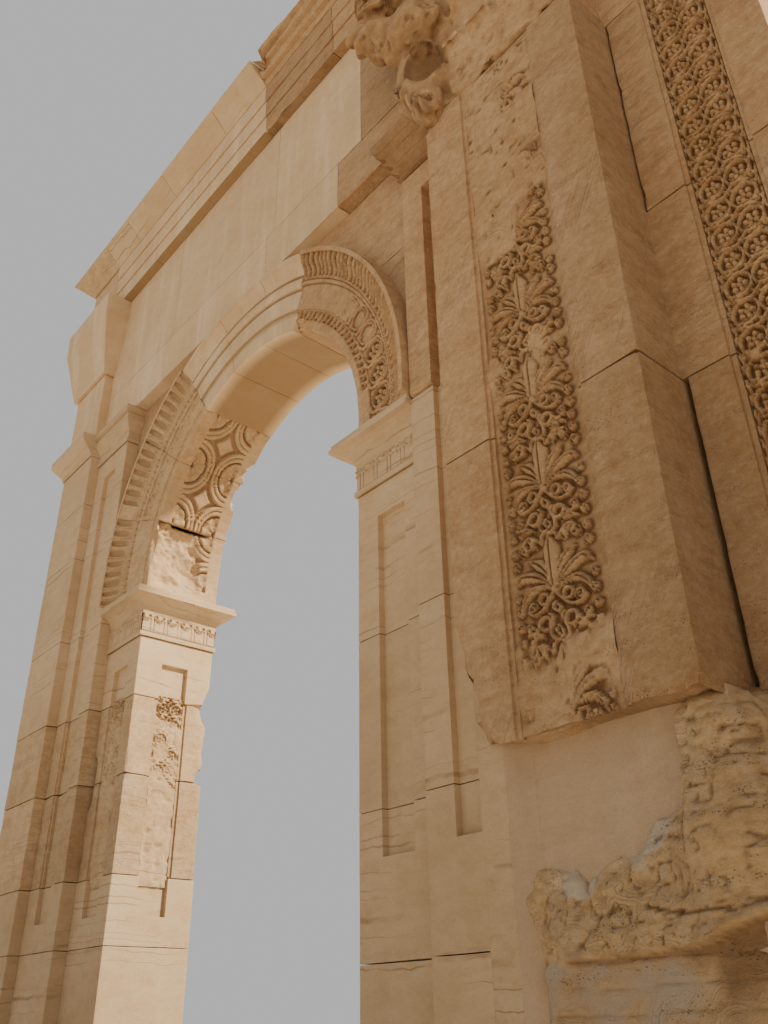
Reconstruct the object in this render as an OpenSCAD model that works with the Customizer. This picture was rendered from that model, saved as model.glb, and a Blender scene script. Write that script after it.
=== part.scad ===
// Triple triumphal arch in limestone: a tall central arch between two lower side arches.
// X runs along the front, the front faces -Y, Z is up. The left half is the -X half.
// The origin is on the ground, in the middle of the plan.

/* [Plan] */
// Clear width of the central passage
central_passage_w = 7000; // [6000:100:8000]
// Clear width of each side passage
side_passage_w = 3500; // [3000:50:4000]
// Width of the pilaster beside the central passage
central_jamb_w = 1000; // [800:20:1300]
// Width of the giant pilaster
giant_w = 1480; // [1200:20:1800]
// Width that shows of the frame pilaster beside the giant pilaster
inner_frame_w = 430; // [300:10:600]
// Width of the pilasters beside a side passage
jamb_w = 740; // [600:10:900]
// Width of the outer frame pilaster
outer_frame_w = 800; // [600:10:1000]
// Width of the corner pilaster
corner_w = 850; // [700:10:1000]

/* [Depth] */
// Depth of the giant pilasters, front face to back face
block_depth = 2450; // [2200:10:2900]
// Thickness of the side wall at its jamb pilasters
side_wall_t = 830; // [700:10:1000]
// How far the giant and corner pilasters stand forward of the jamb pilasters
giant_proud = 245; // [200:5:320]
// How far the frame pilasters stand forward of the jamb pilasters
frame_proud = 134; // [90:2:180]
// How far the central jambs stand back from the side jambs
central_recess = 175; // [80:5:240]

/* [Heights] */
// Height of the plain plinth under each pier
plinth_h = 600; // [400:20:900]
// How far the plinth stands out round its pier
plinth_proud = 90; // [60:5:130]
// Top of the side imposts
side_spring_z = 5540; // [5200:20:5800]
// Top of the lower capitals and underside of the upper wall
upper_wall_z = 8200; // [8100:20:8600]
// Top of the giant capitals and of the central imposts
central_spring_z = 9680; // [9500:20:9900]
// Underside of the architrave
architrave_z = 10360; // [10100:20:10800]
// Straight foot of each arch above its impost
arch_stilt = 240; // [120:10:300]
// Wall course between the central archivolt and the architrave over it
crown_course_h = 150; // [100:10:300]

/* [Mouldings] */
// Height of each impost
impost_h = 480; // [440:10:600]
// Height of the necking round the foot of an impost or capital
necking_h = 45; // [30:5:60]
// How far the necking stands out
necking_proud = 22; // [12:2:30]
// Height of the impost's frieze
impost_frieze_h = 190; // [140:10:220]
// Height of the impost's top fillet
impost_fillet_h = 76; // [50:2:100]
// How far the imposts stand out
impost_proud = 165; // [120:5:200]
// Height of the small capitals on the frame pilasters
small_capital_h = 460; // [380:10:560]
// How far the small capitals stand out
small_capital_proud = 108; // [80:2:110]
// Height of the plain neck of the small capitals
small_neck_h = 150; // [100:10:180]
// Height of the fascia under the abacus of the small capitals
small_fascia_h = 82; // [60:2:100]
// Height of the abacus of the small capitals
small_abacus_h = 92; // [70:2:110]
// Height of the lower corner capital
corner_capital_h = 310; // [250:10:420]
// How far the lower corner capital stands out
corner_capital_proud = 150; // [100:5:200]
// Height of the flared capital under the corner of the architrave
boss_h = 1180; // [900:20:1400]
// How far the flared capital stands out
boss_proud = 210; // [150:5:260]
// Height of the upright upper part of the flared capital
boss_abacus_h = 350; // [250:10:450]
// Height of the giant capital
giant_capital_h = 1750; // [1500:10:1900]
// How far the corners of the giant capital's abacus stand out
horn_proud = 460; // [380:10:520]
// Height of the giant capital's abacus
giant_abacus_h = 290; // [200:10:340]
// How far the sides of the abacus curve in between its corners
abacus_dip = 230; // [150:10:260]
// Width of the cut-off corners of the abacus
horn_w = 190; // [120:10:260]
// How far the bell of the giant capital flares
bell_flare = 190; // [120:10:200]
// Number of leaves across the lower row
leaf_count = 5; // [3:1:7]
// Height of the lower row of leaves
lower_leaf_h = 560; // [450:10:640]
// Height of the upper row of leaves
upper_leaf_h = 1040; // [850:10:1120]
// How far the tips of the lower leaves curl out
leaf_curl = 150; // [100:5:170]
// Radius of the scrolls under the corners of the abacus
scroll_r = 165; // [120:5:190]
// Thickness of the scrolls
scroll_t = 130; // [90:5:160]
// Height of the three fasciae of the architrave
fasciae_h = 760; // [650:10:900]
// Step from one fascia out to the next
fascia_step = 16; // [8:1:30]
// Height of the plain splayed crown on the architrave
crown_h = 260; // [200:10:340]
// How far the crown stands out past the upper fascia
crown_proud = 250; // [180:5:320]
// Plain strip between an archivolt and the pilaster beside it
archivolt_gap = 20; // [10:5:60]
// How far the rim of an archivolt stands out from the wall
rim_proud = 156; // [140:2:190]

/* [Panels] */
// Height above ground where the sunk panels start
panel_z = 2470; // [2000:10:2900]
// Plain margin above a sunk panel
panel_top_margin = 250; // [150:10:400]
// Width of the sunk panels on the side pilasters
side_panel_w = 290; // [200:10:360]
// Width of the sunk strip on the giant pilasters
giant_panel_w = 640; // [500:10:800]
// Width of the sunk strip on the central jambs
central_panel_w = 380; // [300:10:500]
// Depth of the sunk panels
panel_depth = 45; // [20:5:70]
// Width of the step round a sunk panel
panel_step_w = 32; // [20:2:50]
// Depth of the step round a sunk panel
panel_step_depth = 18; // [8:1:19]

/* [Broken foot] */
// Height above ground of the giant pilaster's broken lower edge
broken_z = 2830; // [2400:10:3200]
// Depth of the break in the giant pilaster
broken_depth = 190; // [120:5:260]
// Highest point of the eroded stone in the break
rubble_z = 2350; // [2100:10:2380]
// Height of the worn ledge under the eroded stone
ledge_z = 1840; // [1500:10:1900]
// How far the eroded stone swells out past the pilaster's face
rubble_swell = 110; // [60:5:140]

/* [Hidden] */
$fn = 96;

// Overshoot of a cutting shape past the face that it opens
over = 50;

// Distances from the middle, going outwards
x_jamb = central_passage_w / 2;
x_giant = x_jamb + central_jamb_w;
x_inner_frame = x_giant + giant_w;
x_inner_jamb = x_inner_frame + inner_frame_w;
x_passage = x_inner_jamb + jamb_w;
x_outer_jamb = x_passage + side_passage_w;
x_outer_frame = x_outer_jamb + jamb_w;
x_corner = x_outer_frame + outer_frame_w;
x_end = x_corner + corner_w;
x_arch = x_passage + side_passage_w / 2;

// Spans from the front face to the back face
block_y = [-block_depth / 2, block_depth / 2];
jamb_front = block_y[0] + giant_proud;
jamb_y = [jamb_front, jamb_front + side_wall_t];
frame_y = [jamb_y[0] - frame_proud, jamb_y[1] + frame_proud];
corner_y = [jamb_y[0] - giant_proud, jamb_y[1] + giant_proud];
central_y = [jamb_front + central_recess, -jamb_front - central_recess];
attic_y = [jamb_front - frame_proud, -jamb_front + frame_proud];

// Spans of height
small_capital_z = upper_wall_z - small_capital_h;
corner_capital_z = upper_wall_z - corner_capital_h;
boss_z = architrave_z - boss_h;
giant_capital_z = central_spring_z - giant_capital_h;
crown_z = architrave_z + fasciae_h;
entablature_top = crown_z + crown_h;
side_ring_r = [side_passage_w / 2, side_passage_w / 2 + jamb_w - archivolt_gap];
central_ring_r = [central_passage_w / 2, central_passage_w / 2 + central_jamb_w - archivolt_gap];
central_architrave_z = central_spring_z + arch_stilt + central_ring_r[1] + crown_course_h;
central_crown_z = central_architrave_z + fasciae_h;

// Moulding profiles, each a list of [standing out, height], from the bottom up
fillet = necking_proud / 2;
bead_top = necking_h + impost_frieze_h + fillet;
splay_top = impost_h - impost_fillet_h;
impost_profile = [[0, 0], [necking_proud, 0], [necking_proud, necking_h], [0, necking_h + fillet],
    [0, bead_top - fillet], [fillet, bead_top],
    for (turn = [0:15:75]) [fillet + (impost_proud - 2 * fillet) * (1 - cos(turn)),
    bead_top + (splay_top - bead_top) * sin(turn)], [impost_proud, splay_top], [impost_proud, impost_h]];
fascia_z = small_capital_h - small_abacus_h - small_fascia_h;
small_fascia_proud = small_capital_proud - necking_proud - fillet;
small_capital_profile = [[0, 0], [necking_proud, 0], [necking_proud, necking_h], [0, necking_h + fillet],
    [0, small_neck_h], [small_fascia_proud, fascia_z], [small_fascia_proud, fascia_z + small_fascia_h],
    [small_capital_proud, fascia_z + small_fascia_h + fillet], [small_capital_proud, small_capital_h]];
corner_capital_profile = [[0, 0], [necking_proud, 0], [necking_proud, necking_h],
    [corner_capital_proud, corner_capital_h - small_abacus_h], [corner_capital_proud, corner_capital_h]];
boss_profile = [[0, 0], [2 * necking_proud, 0], [boss_proud, boss_h - boss_abacus_h],
    [boss_proud + fillet, boss_h]];
fasciae_profile = [for (i = [0:2]) each [[i * fascia_step, fasciae_h * i / 3],
    [i * fascia_step, fasciae_h * (i + 1) / 3]]];
crown_profile = [[2 * fascia_step, 0], [2 * fascia_step + crown_proud, crown_h]];
bell_h = giant_capital_h - giant_abacus_h;
bell_profile = [for (turn = [0:9:90]) [bell_flare * (1 - cos(turn)), bell_h * turn / 90]];

// Shares of an archivolt's width where its inner fascia, bead, fascia, roll and splay end
ring_shares = [0.15, 0.21, 0.53, 0.62, 0.92];
// How far each of those bands stands out at its outer edge
ring_proud = [22, 34, 50, 78, rim_proud - 14];

// Half of a lobed leaf from the front and its section from the side, as shares of its size
leaf_half = [[0.30, 0], [0.43, 0.16], [0.37, 0.23], [0.48, 0.41], [0.40, 0.48], [0.49, 0.66], [0.40, 0.72],
    [0.40, 0.86], [0.24, 0.96], [0.05, 1]];
leaf_section = [[0.18, 0], [0.28, 0.45], [0.42, 0.68], [0.72, 0.82], [0.95, 0.78], [1, 0.84], [0.86, 0.96],
    [0.50, 1]];

// A box given by its spans along X, Y and Z
module slab(x, y, z) {
    translate([x[0], y[0], z[0]])
        cube([x[1] - x[0], y[1] - y[0], z[1] - z[0]]);
}

// Outline across a span, with the profile on the ends whose flag is 1
function outline(span, profile, flags) = concat(
    [for (p = profile) [span[0] - p[0] * flags[0], p[1]]],
    [for (i = [len(profile) - 1:-1:0]) [span[1] + profile[i][0] * flags[1], profile[i][1]]]);

// A block whose profile returns round its sides; x_flags and y_flags say which sides have it
module moulded(x, y, z, profile, x_flags, y_flags) {
    reach = max([for (p = profile) p[0]]) + over;
    translate([0, 0, z])
        intersection() {
            translate([0, y[1] + reach, 0])
                rotate([90, 0, 0])
                    linear_extrude(y[1] - y[0] + 2 * reach)
                        polygon(outline(x, profile, x_flags));
            translate([x[0] - reach, 0, 0])
                rotate([90, 0, 90])
                    linear_extrude(x[1] - x[0] + 2 * reach)
                        polygon(outline(y, profile, y_flags));
        }
}

// The two steps of a sunk panel, each as [depth, margin round the inner panel]
panel_steps = [[panel_step_depth, panel_step_w], [panel_depth, 0]];

// Cutter for a stepped sunk panel on the front and the back of a pilaster
module face_panels(x, y, z) {
    for (step = panel_steps)
        for (face = [[y[0] - over, y[0] + step[0]], [y[1] - step[0], y[1] + over]])
            slab([x[0] - step[1], x[1] + step[1]], face, [z[0] - step[1], z[1] + step[1]]);
}

// Cutter for a stepped sunk panel on the passage face at x, cut in the direction of side
module passage_panel(x, side, y, z) {
    for (step = panel_steps) {
        ends = [x - side * over, x + side * step[0]];
        slab([min(ends), max(ends)], [y[0] - step[1], y[1] + step[1]], [z[0] - step[1], z[1] + step[1]]);
    }
}

function middle(span) = (span[0] + span[1]) / 2;
function centred(span, w) = [middle(span) - w / 2, middle(span) + w / 2];

// Half a section of an archivolt, as [distance from the opening, standing out from the wall]
function archivolt_profile(w) = [[0, 0], [ring_shares[0] * w, fillet], [ring_shares[0] * w, ring_proud[0]],
    [ring_shares[1] * w, ring_proud[1]], [ring_shares[2] * w, ring_proud[2]],
    for (turn = [0:30:180]) [w * (ring_shares[2] + (ring_shares[3] - ring_shares[2]) * (1 - cos(turn)) / 2),
    ring_proud[2] + (ring_proud[3] - ring_proud[2]) * sin(turn)],
    [ring_shares[4] * w, ring_proud[4]], [ring_shares[4] * w, rim_proud], [w, rim_proud], [w, 0]];

// The whole section, moulded on the front and on the back of a wall of thickness t
function ring_section(r, t) = let (half = archivolt_profile(r[1] - r[0])) concat(
    [for (p = half) [r[0] + p[0], -t / 2 - p[1]]],
    [for (i = [len(half) - 1:-1:0]) [r[0] + half[i][0], t / 2 + half[i][1]]]);

// A half ring on two straight feet, moulded on both faces
module arch_ring(x, y, z, r) {
    translate([x, middle(y), z]) {
        translate([0, 0, arch_stilt])
            rotate([90, 0, 0])
                rotate_extrude(angle = 180)
                    polygon(ring_section(r, y[1] - y[0]));
        for (side = [0, 1])
            mirror([side, 0, 0])
                linear_extrude(arch_stilt)
                    polygon(ring_section(r, y[1] - y[0]));
    }
}

// The space that an arch ring of outer radius r fills, cut through a wall
module arch_space(x, y, z, r) {
    translate([x, y[1] + over, z + arch_stilt])
        rotate([90, 0, 0])
            cylinder(h = y[1] - y[0] + 2 * over, r = r);
    slab([x - r, x + r], [y[0] - over, y[1] + over], [z - over, z + arch_stilt]);
}

module on_left() {
    mirror([1, 0, 0])
        children();
}

// Sub-parts, drawn on the right half unless they cross the middle
module plinth(spans) {
    color("wheat")
        union()
            for (s = spans)
                slab([s[0][0] - plinth_proud, s[0][1] + plinth_proud],
                    [s[1][0] - plinth_proud, s[1][1] + plinth_proud], [0, plinth_h]);
}

module pier_plinths() {
    inner = [[[x_jamb, x_giant], central_y], [[x_giant, x_inner_frame], block_y],
        [[x_inner_frame, x_inner_jamb], frame_y], [[x_inner_jamb, x_passage], jamb_y]];
    outer = [[[x_outer_jamb, x_outer_frame], jamb_y], [[x_outer_frame, x_corner], frame_y],
        [[x_corner, x_end], corner_y]];
    for (side = [0, 1])
        mirror([side, 0, 0]) {
            plinth(inner);
            plinth(outer);
        }
}

module side_jamb(x, side) {
    z = [plinth_h, side_spring_z - impost_h];
    panel = [panel_z, z[1] - panel_top_margin];
    color("burlywood")
        difference() {
            slab(x, jamb_y, z);
            face_panels(centred(x, side_panel_w), jamb_y, panel);
            passage_panel(side > 0 ? x[0] : x[1], side, centred(jamb_y, side_panel_w), panel);
        }
}

module outer_jamb() {
    side_jamb([x_outer_jamb, x_outer_frame], 1);
}

module inner_jamb() {
    side_jamb([x_inner_jamb, x_passage], -1);
}

module outer_frame() {
    x = [x_outer_frame, x_corner];
    color("tan")
        difference() {
            slab(x, frame_y, [plinth_h, small_capital_z]);
            face_panels(centred(x, side_panel_w), frame_y, [panel_z, small_capital_z - panel_top_margin]);
        }
}

module inner_frame() {
    x = [x_inner_frame, x_inner_jamb];
    color("tan")
        difference() {
            slab(x, frame_y, [plinth_h, small_capital_z]);
            face_panels([x[0] - over, x[1] - side_panel_w / 2 - panel_step_w], frame_y,
                [panel_z, small_capital_z - panel_top_margin]);
        }
}

module corner_pilaster() {
    color("burlywood")
        slab([x_corner, x_end], corner_y, [plinth_h, corner_capital_z]);
}

module corner_capital() {
    color("wheat")
        moulded([x_corner, x_end], corner_y, corner_capital_z, corner_capital_profile, [0, 1], [1, 1]);
}

module upper_corner() {
    color("wheat")
        slab([x_corner, x_end], corner_y, [upper_wall_z, boss_z]);
}

module boss_capital() {
    color("wheat")
        difference() {
            moulded([x_corner, x_end], corner_y, boss_z, boss_profile, [1, 1], [1, 1]);
            slab([x_inner_frame, x_corner], frame_y, [upper_wall_z, architrave_z + over]);
        }
}

module side_imposts() {
    for (x = [[x_inner_jamb, x_passage], [x_outer_jamb, x_outer_frame]])
        color("cornsilk")
            moulded(x, jamb_y, side_spring_z - impost_h, impost_profile,
                x[0] == x_outer_jamb ? [1, 0] : [0, 1], [1, 1]);
}

module small_capitals() {
    for (x = [[x_inner_frame, x_inner_jamb], [x_outer_frame, x_corner]])
        color("wheat")
            difference() {
                moulded(x, frame_y, small_capital_z, small_capital_profile,
                    x[0] == x_outer_frame ? [1, 0] : [0, 1], [1, 1]);
                slab([x_inner_jamb, x_outer_frame], jamb_y, [small_capital_z - over, upper_wall_z + over]);
            }
}

module side_arch() {
    color("goldenrod")
        arch_ring(x_arch, jamb_y, side_spring_z, side_ring_r);
}

module spandrels() {
    color("tan")
        difference() {
            slab([x_inner_jamb, x_outer_frame], jamb_y, [side_spring_z, upper_wall_z]);
            arch_space(x_arch, jamb_y, side_spring_z, side_ring_r[1]);
        }
}

module upper_wall() {
    color("cornsilk")
        difference() {
            slab([x_inner_frame, x_corner], frame_y, [upper_wall_z, architrave_z]);
            arch_space(x_arch, frame_y, side_spring_z, side_ring_r[1]);
        }
}

module architrave() {
    color("wheat")
        moulded([x_inner_frame, x_end], corner_y, architrave_z, fasciae_profile, [0, 1], [1, 1]);
}

module crown() {
    color("burlywood")
        moulded([x_inner_frame, x_end], corner_y, crown_z, crown_profile, [0, 1], [1, 1]);
}

module giant_pilaster() {
    x = [x_giant, x_inner_frame];
    color("peru")
        difference() {
            slab(x, block_y, [plinth_h, giant_capital_z]);
            face_panels(centred(x, giant_panel_w), block_y, [panel_z, giant_capital_z - panel_step_w]);
        }
}

module broken_giant_pilaster() {
    color("peru")
        difference() {
            giant_pilaster();
            slab([x_giant - over, x_inner_frame + over], [block_y[0] - over, block_y[0] + broken_depth],
                [plinth_h, broken_z]);
        }
}

// Section of the eroded stone, as [standing out from the back of the break, height]
eroded_section = [[0, plinth_h], [0, rubble_z], [-broken_depth / 2, rubble_z - rubble_swell],
    [-broken_depth, rubble_z - 2 * rubble_swell], [-broken_depth - rubble_swell, ledge_z + rubble_swell],
    [-broken_depth - rubble_swell, ledge_z + fillet], [-broken_depth, ledge_z],
    [-broken_depth, plinth_h]];

// Eroded stone that fills the lower part of the break
module eroded_foot() {
    back = block_y[0] + broken_depth;
    color("sienna")
        translate([x_giant, back, 0])
            rotate([90, 0, 90])
                linear_extrude(giant_w)
                    polygon(eroded_section);
}

// A leaf of width w and height h that stands on a face at y and curls out towards -Y
module leaf(w, h, curl) {
    outline = concat([for (p = leaf_half) [p[0] * w, p[1] * h]],
        [for (i = [len(leaf_half) - 1:-1:0]) [-leaf_half[i][0] * w, leaf_half[i][1] * h]]);
    section = concat([[bell_flare, 0]], [for (p = leaf_section) [-p[0] * curl, p[1] * h]], [[bell_flare, h]]);
    intersection() {
        translate([0, bell_flare + over, 0])
            rotate([90, 0, 0])
                linear_extrude(bell_flare + curl + 2 * over)
                    polygon(outline);
        translate([-w, 0, 0])
            rotate([90, 0, 90])
                linear_extrude(2 * w)
                    polygon(section);
    }
}

// A row of leaves across the span x, on the face at y
module leaf_row(x, y, count, h, curl) {
    w = (x[1] - x[0]) / count;
    for (i = [0:count - 1])
        translate([x[0] + w * i + w / 2, y, 0])
            leaf(w, h, curl);
}

// Plan of an abacus with curved-in sides and cut-off corners, standing out by reach
module abacus_plan(x, y, reach) {
    half = [(x[1] - x[0]) / 2 + reach, (y[1] - y[0]) / 2 + reach];
    cut = half - [horn_w / 2, horn_w / 2];
    translate([middle(x), middle(y)])
        difference() {
            polygon([[half[0], cut[1]], [cut[0], half[1]], [-cut[0], half[1]], [-half[0], cut[1]],
                [-half[0], -cut[1]], [-cut[0], -half[1]], [cut[0], -half[1]], [half[0], -cut[1]]]);
            for (side = [0, 1])
                for (turn = [0, 180]) {
                    radius = pow(half[side] - horn_w, 2) / (2 * abacus_dip) + abacus_dip / 2;
                    away = half[1 - side] + radius - abacus_dip;
                    rotate(turn)
                        translate(side == 0 ? [0, away] : [away, 0])
                            circle(r = radius);
                }
        }
}

// Scrolls that stand under the four corners of the abacus
module scrolls(x, y, z) {
    reach = horn_proud - scroll_r - necking_proud;
    for (cx = x)
        for (cy = y) {
            away = [sign(cx - middle(x)), sign(cy - middle(y))];
            translate([cx + away[0] * reach, cy + away[1] * reach, z])
                rotate([90, 0, away[0] * away[1] * 45])
                    translate([0, 0, -scroll_t / 2])
                        cylinder(h = scroll_t, r = scroll_r);
        }
}

module giant_capital() {
    x = [x_giant, x_inner_frame];
    leaf_w = giant_w / leaf_count;
    upper_foot = lower_leaf_h - leaf_curl;
    color("chocolate")
        difference() {
            union() {
                moulded(x, block_y, giant_capital_z, bell_profile, [1, 1], [1, 1]);
                translate([0, 0, giant_capital_z]) {
                    for (face = [0, 1])
                        mirror([0, face, 0]) {
                            leaf_row(x, block_y[0], leaf_count, lower_leaf_h, leaf_curl);
                            translate([0, 0, upper_foot])
                                leaf_row([x[0] + leaf_w / 2, x[1] - leaf_w / 2], block_y[0], leaf_count - 1,
                                    upper_leaf_h - upper_foot, leaf_curl + bell_flare / 2);
                        }
                    scrolls(x, block_y, bell_h - scroll_r + fillet);
                    translate([0, 0, bell_h])
                        linear_extrude(giant_abacus_h / 2)
                            abacus_plan(x, block_y, horn_proud - necking_proud);
                    translate([0, 0, bell_h + giant_abacus_h / 2])
                        linear_extrude(giant_abacus_h / 2)
                            abacus_plan(x, block_y, horn_proud);
                }
            }
            slab([x_inner_frame, x_end], frame_y, [upper_wall_z, architrave_z]);
            slab([x_inner_frame, x_end], [frame_y[0] - small_capital_proud, frame_y[1] + small_capital_proud],
                [small_capital_z - over, upper_wall_z]);
            slab([0, x_giant], [central_y[0] - impost_proud, central_y[1] + impost_proud],
                [giant_capital_z - over, central_spring_z + over]);
        }
}

module giant_entablatures() {
    x = [x_giant, x_inner_frame];
    for (side = [0, 1])
        mirror([side, 0, 0])
            color("wheat")
                union() {
                    slab(x, block_y, [central_spring_z, architrave_z]);
                    moulded(x, block_y, architrave_z, fasciae_profile, [0, 0], [1, 1]);
                    moulded(x, block_y, crown_z, crown_profile, [0, 0], [1, 1]);
                }
}

module central_jamb() {
    x = [x_jamb, x_giant];
    z = [plinth_h, central_spring_z - impost_h];
    color("peru")
        difference() {
            slab(x, central_y, z);
            face_panels(centred(x, central_panel_w), central_y, [panel_z, z[1] - panel_top_margin]);
            passage_panel(x[0], 1, centred(central_y, giant_panel_w), [panel_z, z[1] - panel_top_margin]);
        }
}

module central_imposts() {
    for (side = [0, 1])
        mirror([side, 0, 0])
            color("cornsilk")
                moulded([x_jamb, x_giant], central_y, central_spring_z - impost_h, impost_profile,
                    [1, 0], [1, 1]);
}

module central_arch() {
    color("goldenrod")
        arch_ring(0, central_y, central_spring_z, central_ring_r);
}

module central_spandrels() {
    color("tan")
        difference() {
            slab([-x_giant, x_giant], central_y, [central_spring_z, central_architrave_z]);
            arch_space(0, central_y, central_spring_z, central_ring_r[1]);
        }
}

module attic_pilasters() {
    for (side = [0, 1])
        mirror([side, 0, 0])
            color("burlywood")
                slab([x_giant, x_inner_frame], attic_y, [entablature_top, central_architrave_z]);
}

module central_architrave() {
    color("wheat")
        moulded([-x_inner_frame, x_inner_frame], block_y, central_architrave_z, fasciae_profile,
            [1, 1], [1, 1]);
}

module central_crown() {
    color("burlywood")
        moulded([-x_inner_frame, x_inner_frame], block_y, central_crown_z, crown_profile,
            [1, 1], [1, 1]);
}

pier_plinths();
on_left() outer_jamb();  // left_outer_jamb
outer_jamb();  // right_outer_jamb
on_left() inner_jamb();  // left_inner_jamb
inner_jamb();  // right_inner_jamb
on_left() outer_frame();  // left_outer_frame
outer_frame();  // right_outer_frame
on_left() inner_frame();  // left_inner_frame
inner_frame();  // right_inner_frame
on_left() corner_pilaster();  // left_corner_pilaster
corner_pilaster();  // right_corner_pilaster
on_left() corner_capital();  // left_corner_capital
corner_capital();  // right_corner_capital
on_left() upper_corner();  // left_upper_corner
upper_corner();  // right_upper_corner
on_left() boss_capital();  // left_boss_capital
boss_capital();  // right_boss_capital
on_left() side_imposts();  // left_side_imposts
side_imposts();  // right_side_imposts
on_left() small_capitals();  // left_small_capitals
small_capitals();  // right_small_capitals
on_left() side_arch();  // left_side_arch
side_arch();  // right_side_arch
on_left() spandrels();  // left_spandrels
spandrels();  // right_spandrels
on_left() upper_wall();  // left_upper_wall
upper_wall();  // right_upper_wall
on_left() architrave();  // left_architrave
architrave();  // right_architrave
on_left() crown();  // left_crown
crown();  // right_crown
on_left() broken_giant_pilaster();  // left_giant_pilaster
giant_pilaster();  // right_giant_pilaster
on_left() eroded_foot();  // left_eroded_foot
on_left() giant_capital();  // left_giant_capital
giant_capital();  // right_giant_capital
giant_entablatures();
on_left() central_jamb();  // left_central_jamb
central_jamb();  // right_central_jamb
central_imposts();
central_arch();
central_spandrels();
attic_pilasters();
central_architrave();
central_crown();
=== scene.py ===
import math
import bmesh
import bpy
import numpy as np
from mathutils import Matrix, Vector


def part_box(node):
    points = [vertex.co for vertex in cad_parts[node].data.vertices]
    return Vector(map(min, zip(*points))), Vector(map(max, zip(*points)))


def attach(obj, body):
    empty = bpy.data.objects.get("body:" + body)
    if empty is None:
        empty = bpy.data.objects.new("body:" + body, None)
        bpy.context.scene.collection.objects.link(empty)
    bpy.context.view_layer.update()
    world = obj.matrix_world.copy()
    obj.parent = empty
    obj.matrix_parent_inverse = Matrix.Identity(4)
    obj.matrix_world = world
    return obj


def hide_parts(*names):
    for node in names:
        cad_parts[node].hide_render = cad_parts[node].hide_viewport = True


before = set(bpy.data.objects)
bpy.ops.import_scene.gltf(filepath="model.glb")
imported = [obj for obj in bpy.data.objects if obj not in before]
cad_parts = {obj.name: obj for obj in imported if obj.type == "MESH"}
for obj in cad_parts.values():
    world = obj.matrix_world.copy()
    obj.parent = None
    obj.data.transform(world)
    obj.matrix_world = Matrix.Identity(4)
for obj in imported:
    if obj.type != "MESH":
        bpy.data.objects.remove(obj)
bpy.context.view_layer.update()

# Camera, as fitted to the photograph's edges
EYE = (-2.54, -4.70, 1.6)
YAW, PITCH, ROLL = math.radians(-49.23), math.radians(29.41), math.radians(1.07)
FOCAL_PX, LONG_SIDE_PX, SENSOR = 907.2, 1024, 36.0

# Grid steps of the stone surfaces, in metres: the half in the photograph, the other half, and below which
# step a moulding is crisp. Restored stone has a grid that is coarser by NEW_STEP_SHARE
NEAR_STEP, FAR_STEP, CRISP_STEP, NEW_STEP_SHARE = 0.060, 0.170, 0.1, 3.0
EDGE_LINES, LINE, CORNER_ROW = (0.0, 0.005, 0.022), 0.0015, 0.010
SOFT_CORNER, SHARP = 0.04, math.radians(50)
# Joints between stones, and how deep a stone's rim turns into them
GAP, RIM_DEPTH = 0.003, 0.05

# Heights of the joints between the courses of stone
PIER_JOINTS = (2.22, 2.80, 3.69, 4.45)
NEW_PIER_JOINTS = (1.9, 2.75, 3.9)
GIANT_JOINTS = (1.84, 2.85, 4.68, 5.99, 7.89)
UPPER_FRAME_JOINTS = (5.40, 6.45, 7.20)
INNER_FRAME_JOINTS = (5.5, 6.3, 7.1)
SPANDREL_JOINTS = (6.45, 7.20)

# Mouldings, the same as the solids have
NECK_PROUD, NECK_H, FILLET = 0.022, 0.045, 0.011
IMPOST_PROUD, IMPOST_FRIEZE_TOP, IMPOST_SPLAY_TOP, IMPOST_H = 0.165, 0.235, 0.404, 0.48
SMALL_NECK_H, SMALL_FASCIA_Z, SMALL_FASCIA_H, SMALL_PROUD, SMALL_CAPITAL_H = 0.150, 0.286, 0.082, 0.108, 0.46
CORNER_PROUD, CORNER_ABACUS_Z, CORNER_CAPITAL_H = 0.150, 0.218, 0.310
BOSS_PROUD, BOSS_ABACUS_Z, BOSS_H = 0.210, 0.830, 1.18
FASCIA_STEP, FASCIAE_H = 0.016, 0.76
CROWN_PROUD, CROWN_H = 0.250, 0.26
PLINTH_PROUD = 0.09

# Sunk panels, the same as the solids have, and the deeper one of the old inner frame
PANEL_STEP_W, PANEL_STEP_DEPTH, PANEL_DEPTH, DEEP_PANEL = 0.032, 0.018, 0.045, 0.085
PANEL_Z, SIDE_PANEL_W, PANEL_TOP = 2.47, 0.29, 0.25
GIANT_PANEL_W, CENTRAL_PANEL_W = 0.64, 0.38

# Arches: points of the plain and the carved ring's section, as (share of its width, how far it stands out)
RING_SECTION = ((0, 0), (0.262, 0.010), (0.268, 0.030), (0.300, 0.036), (0.530, 0.040), (0.536, 0.022),
                (0.552, 0.022), (0.556, 0.046), (0.575, 0.064), (0.620, 0.078), (0.665, 0.078),
                (0.700, 0.070), (0.715, 0.052), (0.718, 0.034), (0.740, 0.034), (0.745, 0.070),
                (0.78, 0.078), (0.83, 0.096), (0.88, 0.124), (0.915, 0.150), (0.920, 0.160), (1, 0.160))
RING_GROOVES = ((0.258, 0.27), (0.534, 0.556), (0.714, 0.744))
CARVED_SECTION = ((0, 0), (0.100, 0.006), (0.105, 0.022), (0.235, 0.038), (0.245, 0.044), (0.620, 0.060),
                  (0.635, 0.078), (0.690, 0.084), (0.930, 0.172), (0.940, 0.190), (1, 0.190))
RING_W, ARCH_STILT = 0.74, 0.24

# Break at the foot of the left giant pilaster
BREAK_Z, BREAK_DEPTH, ROCK_STEP = 2.83, 0.19, 0.0125


def spans(name):
    """Spans of a node along X, Y and Z."""
    return list(zip(*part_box(name)))


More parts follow.
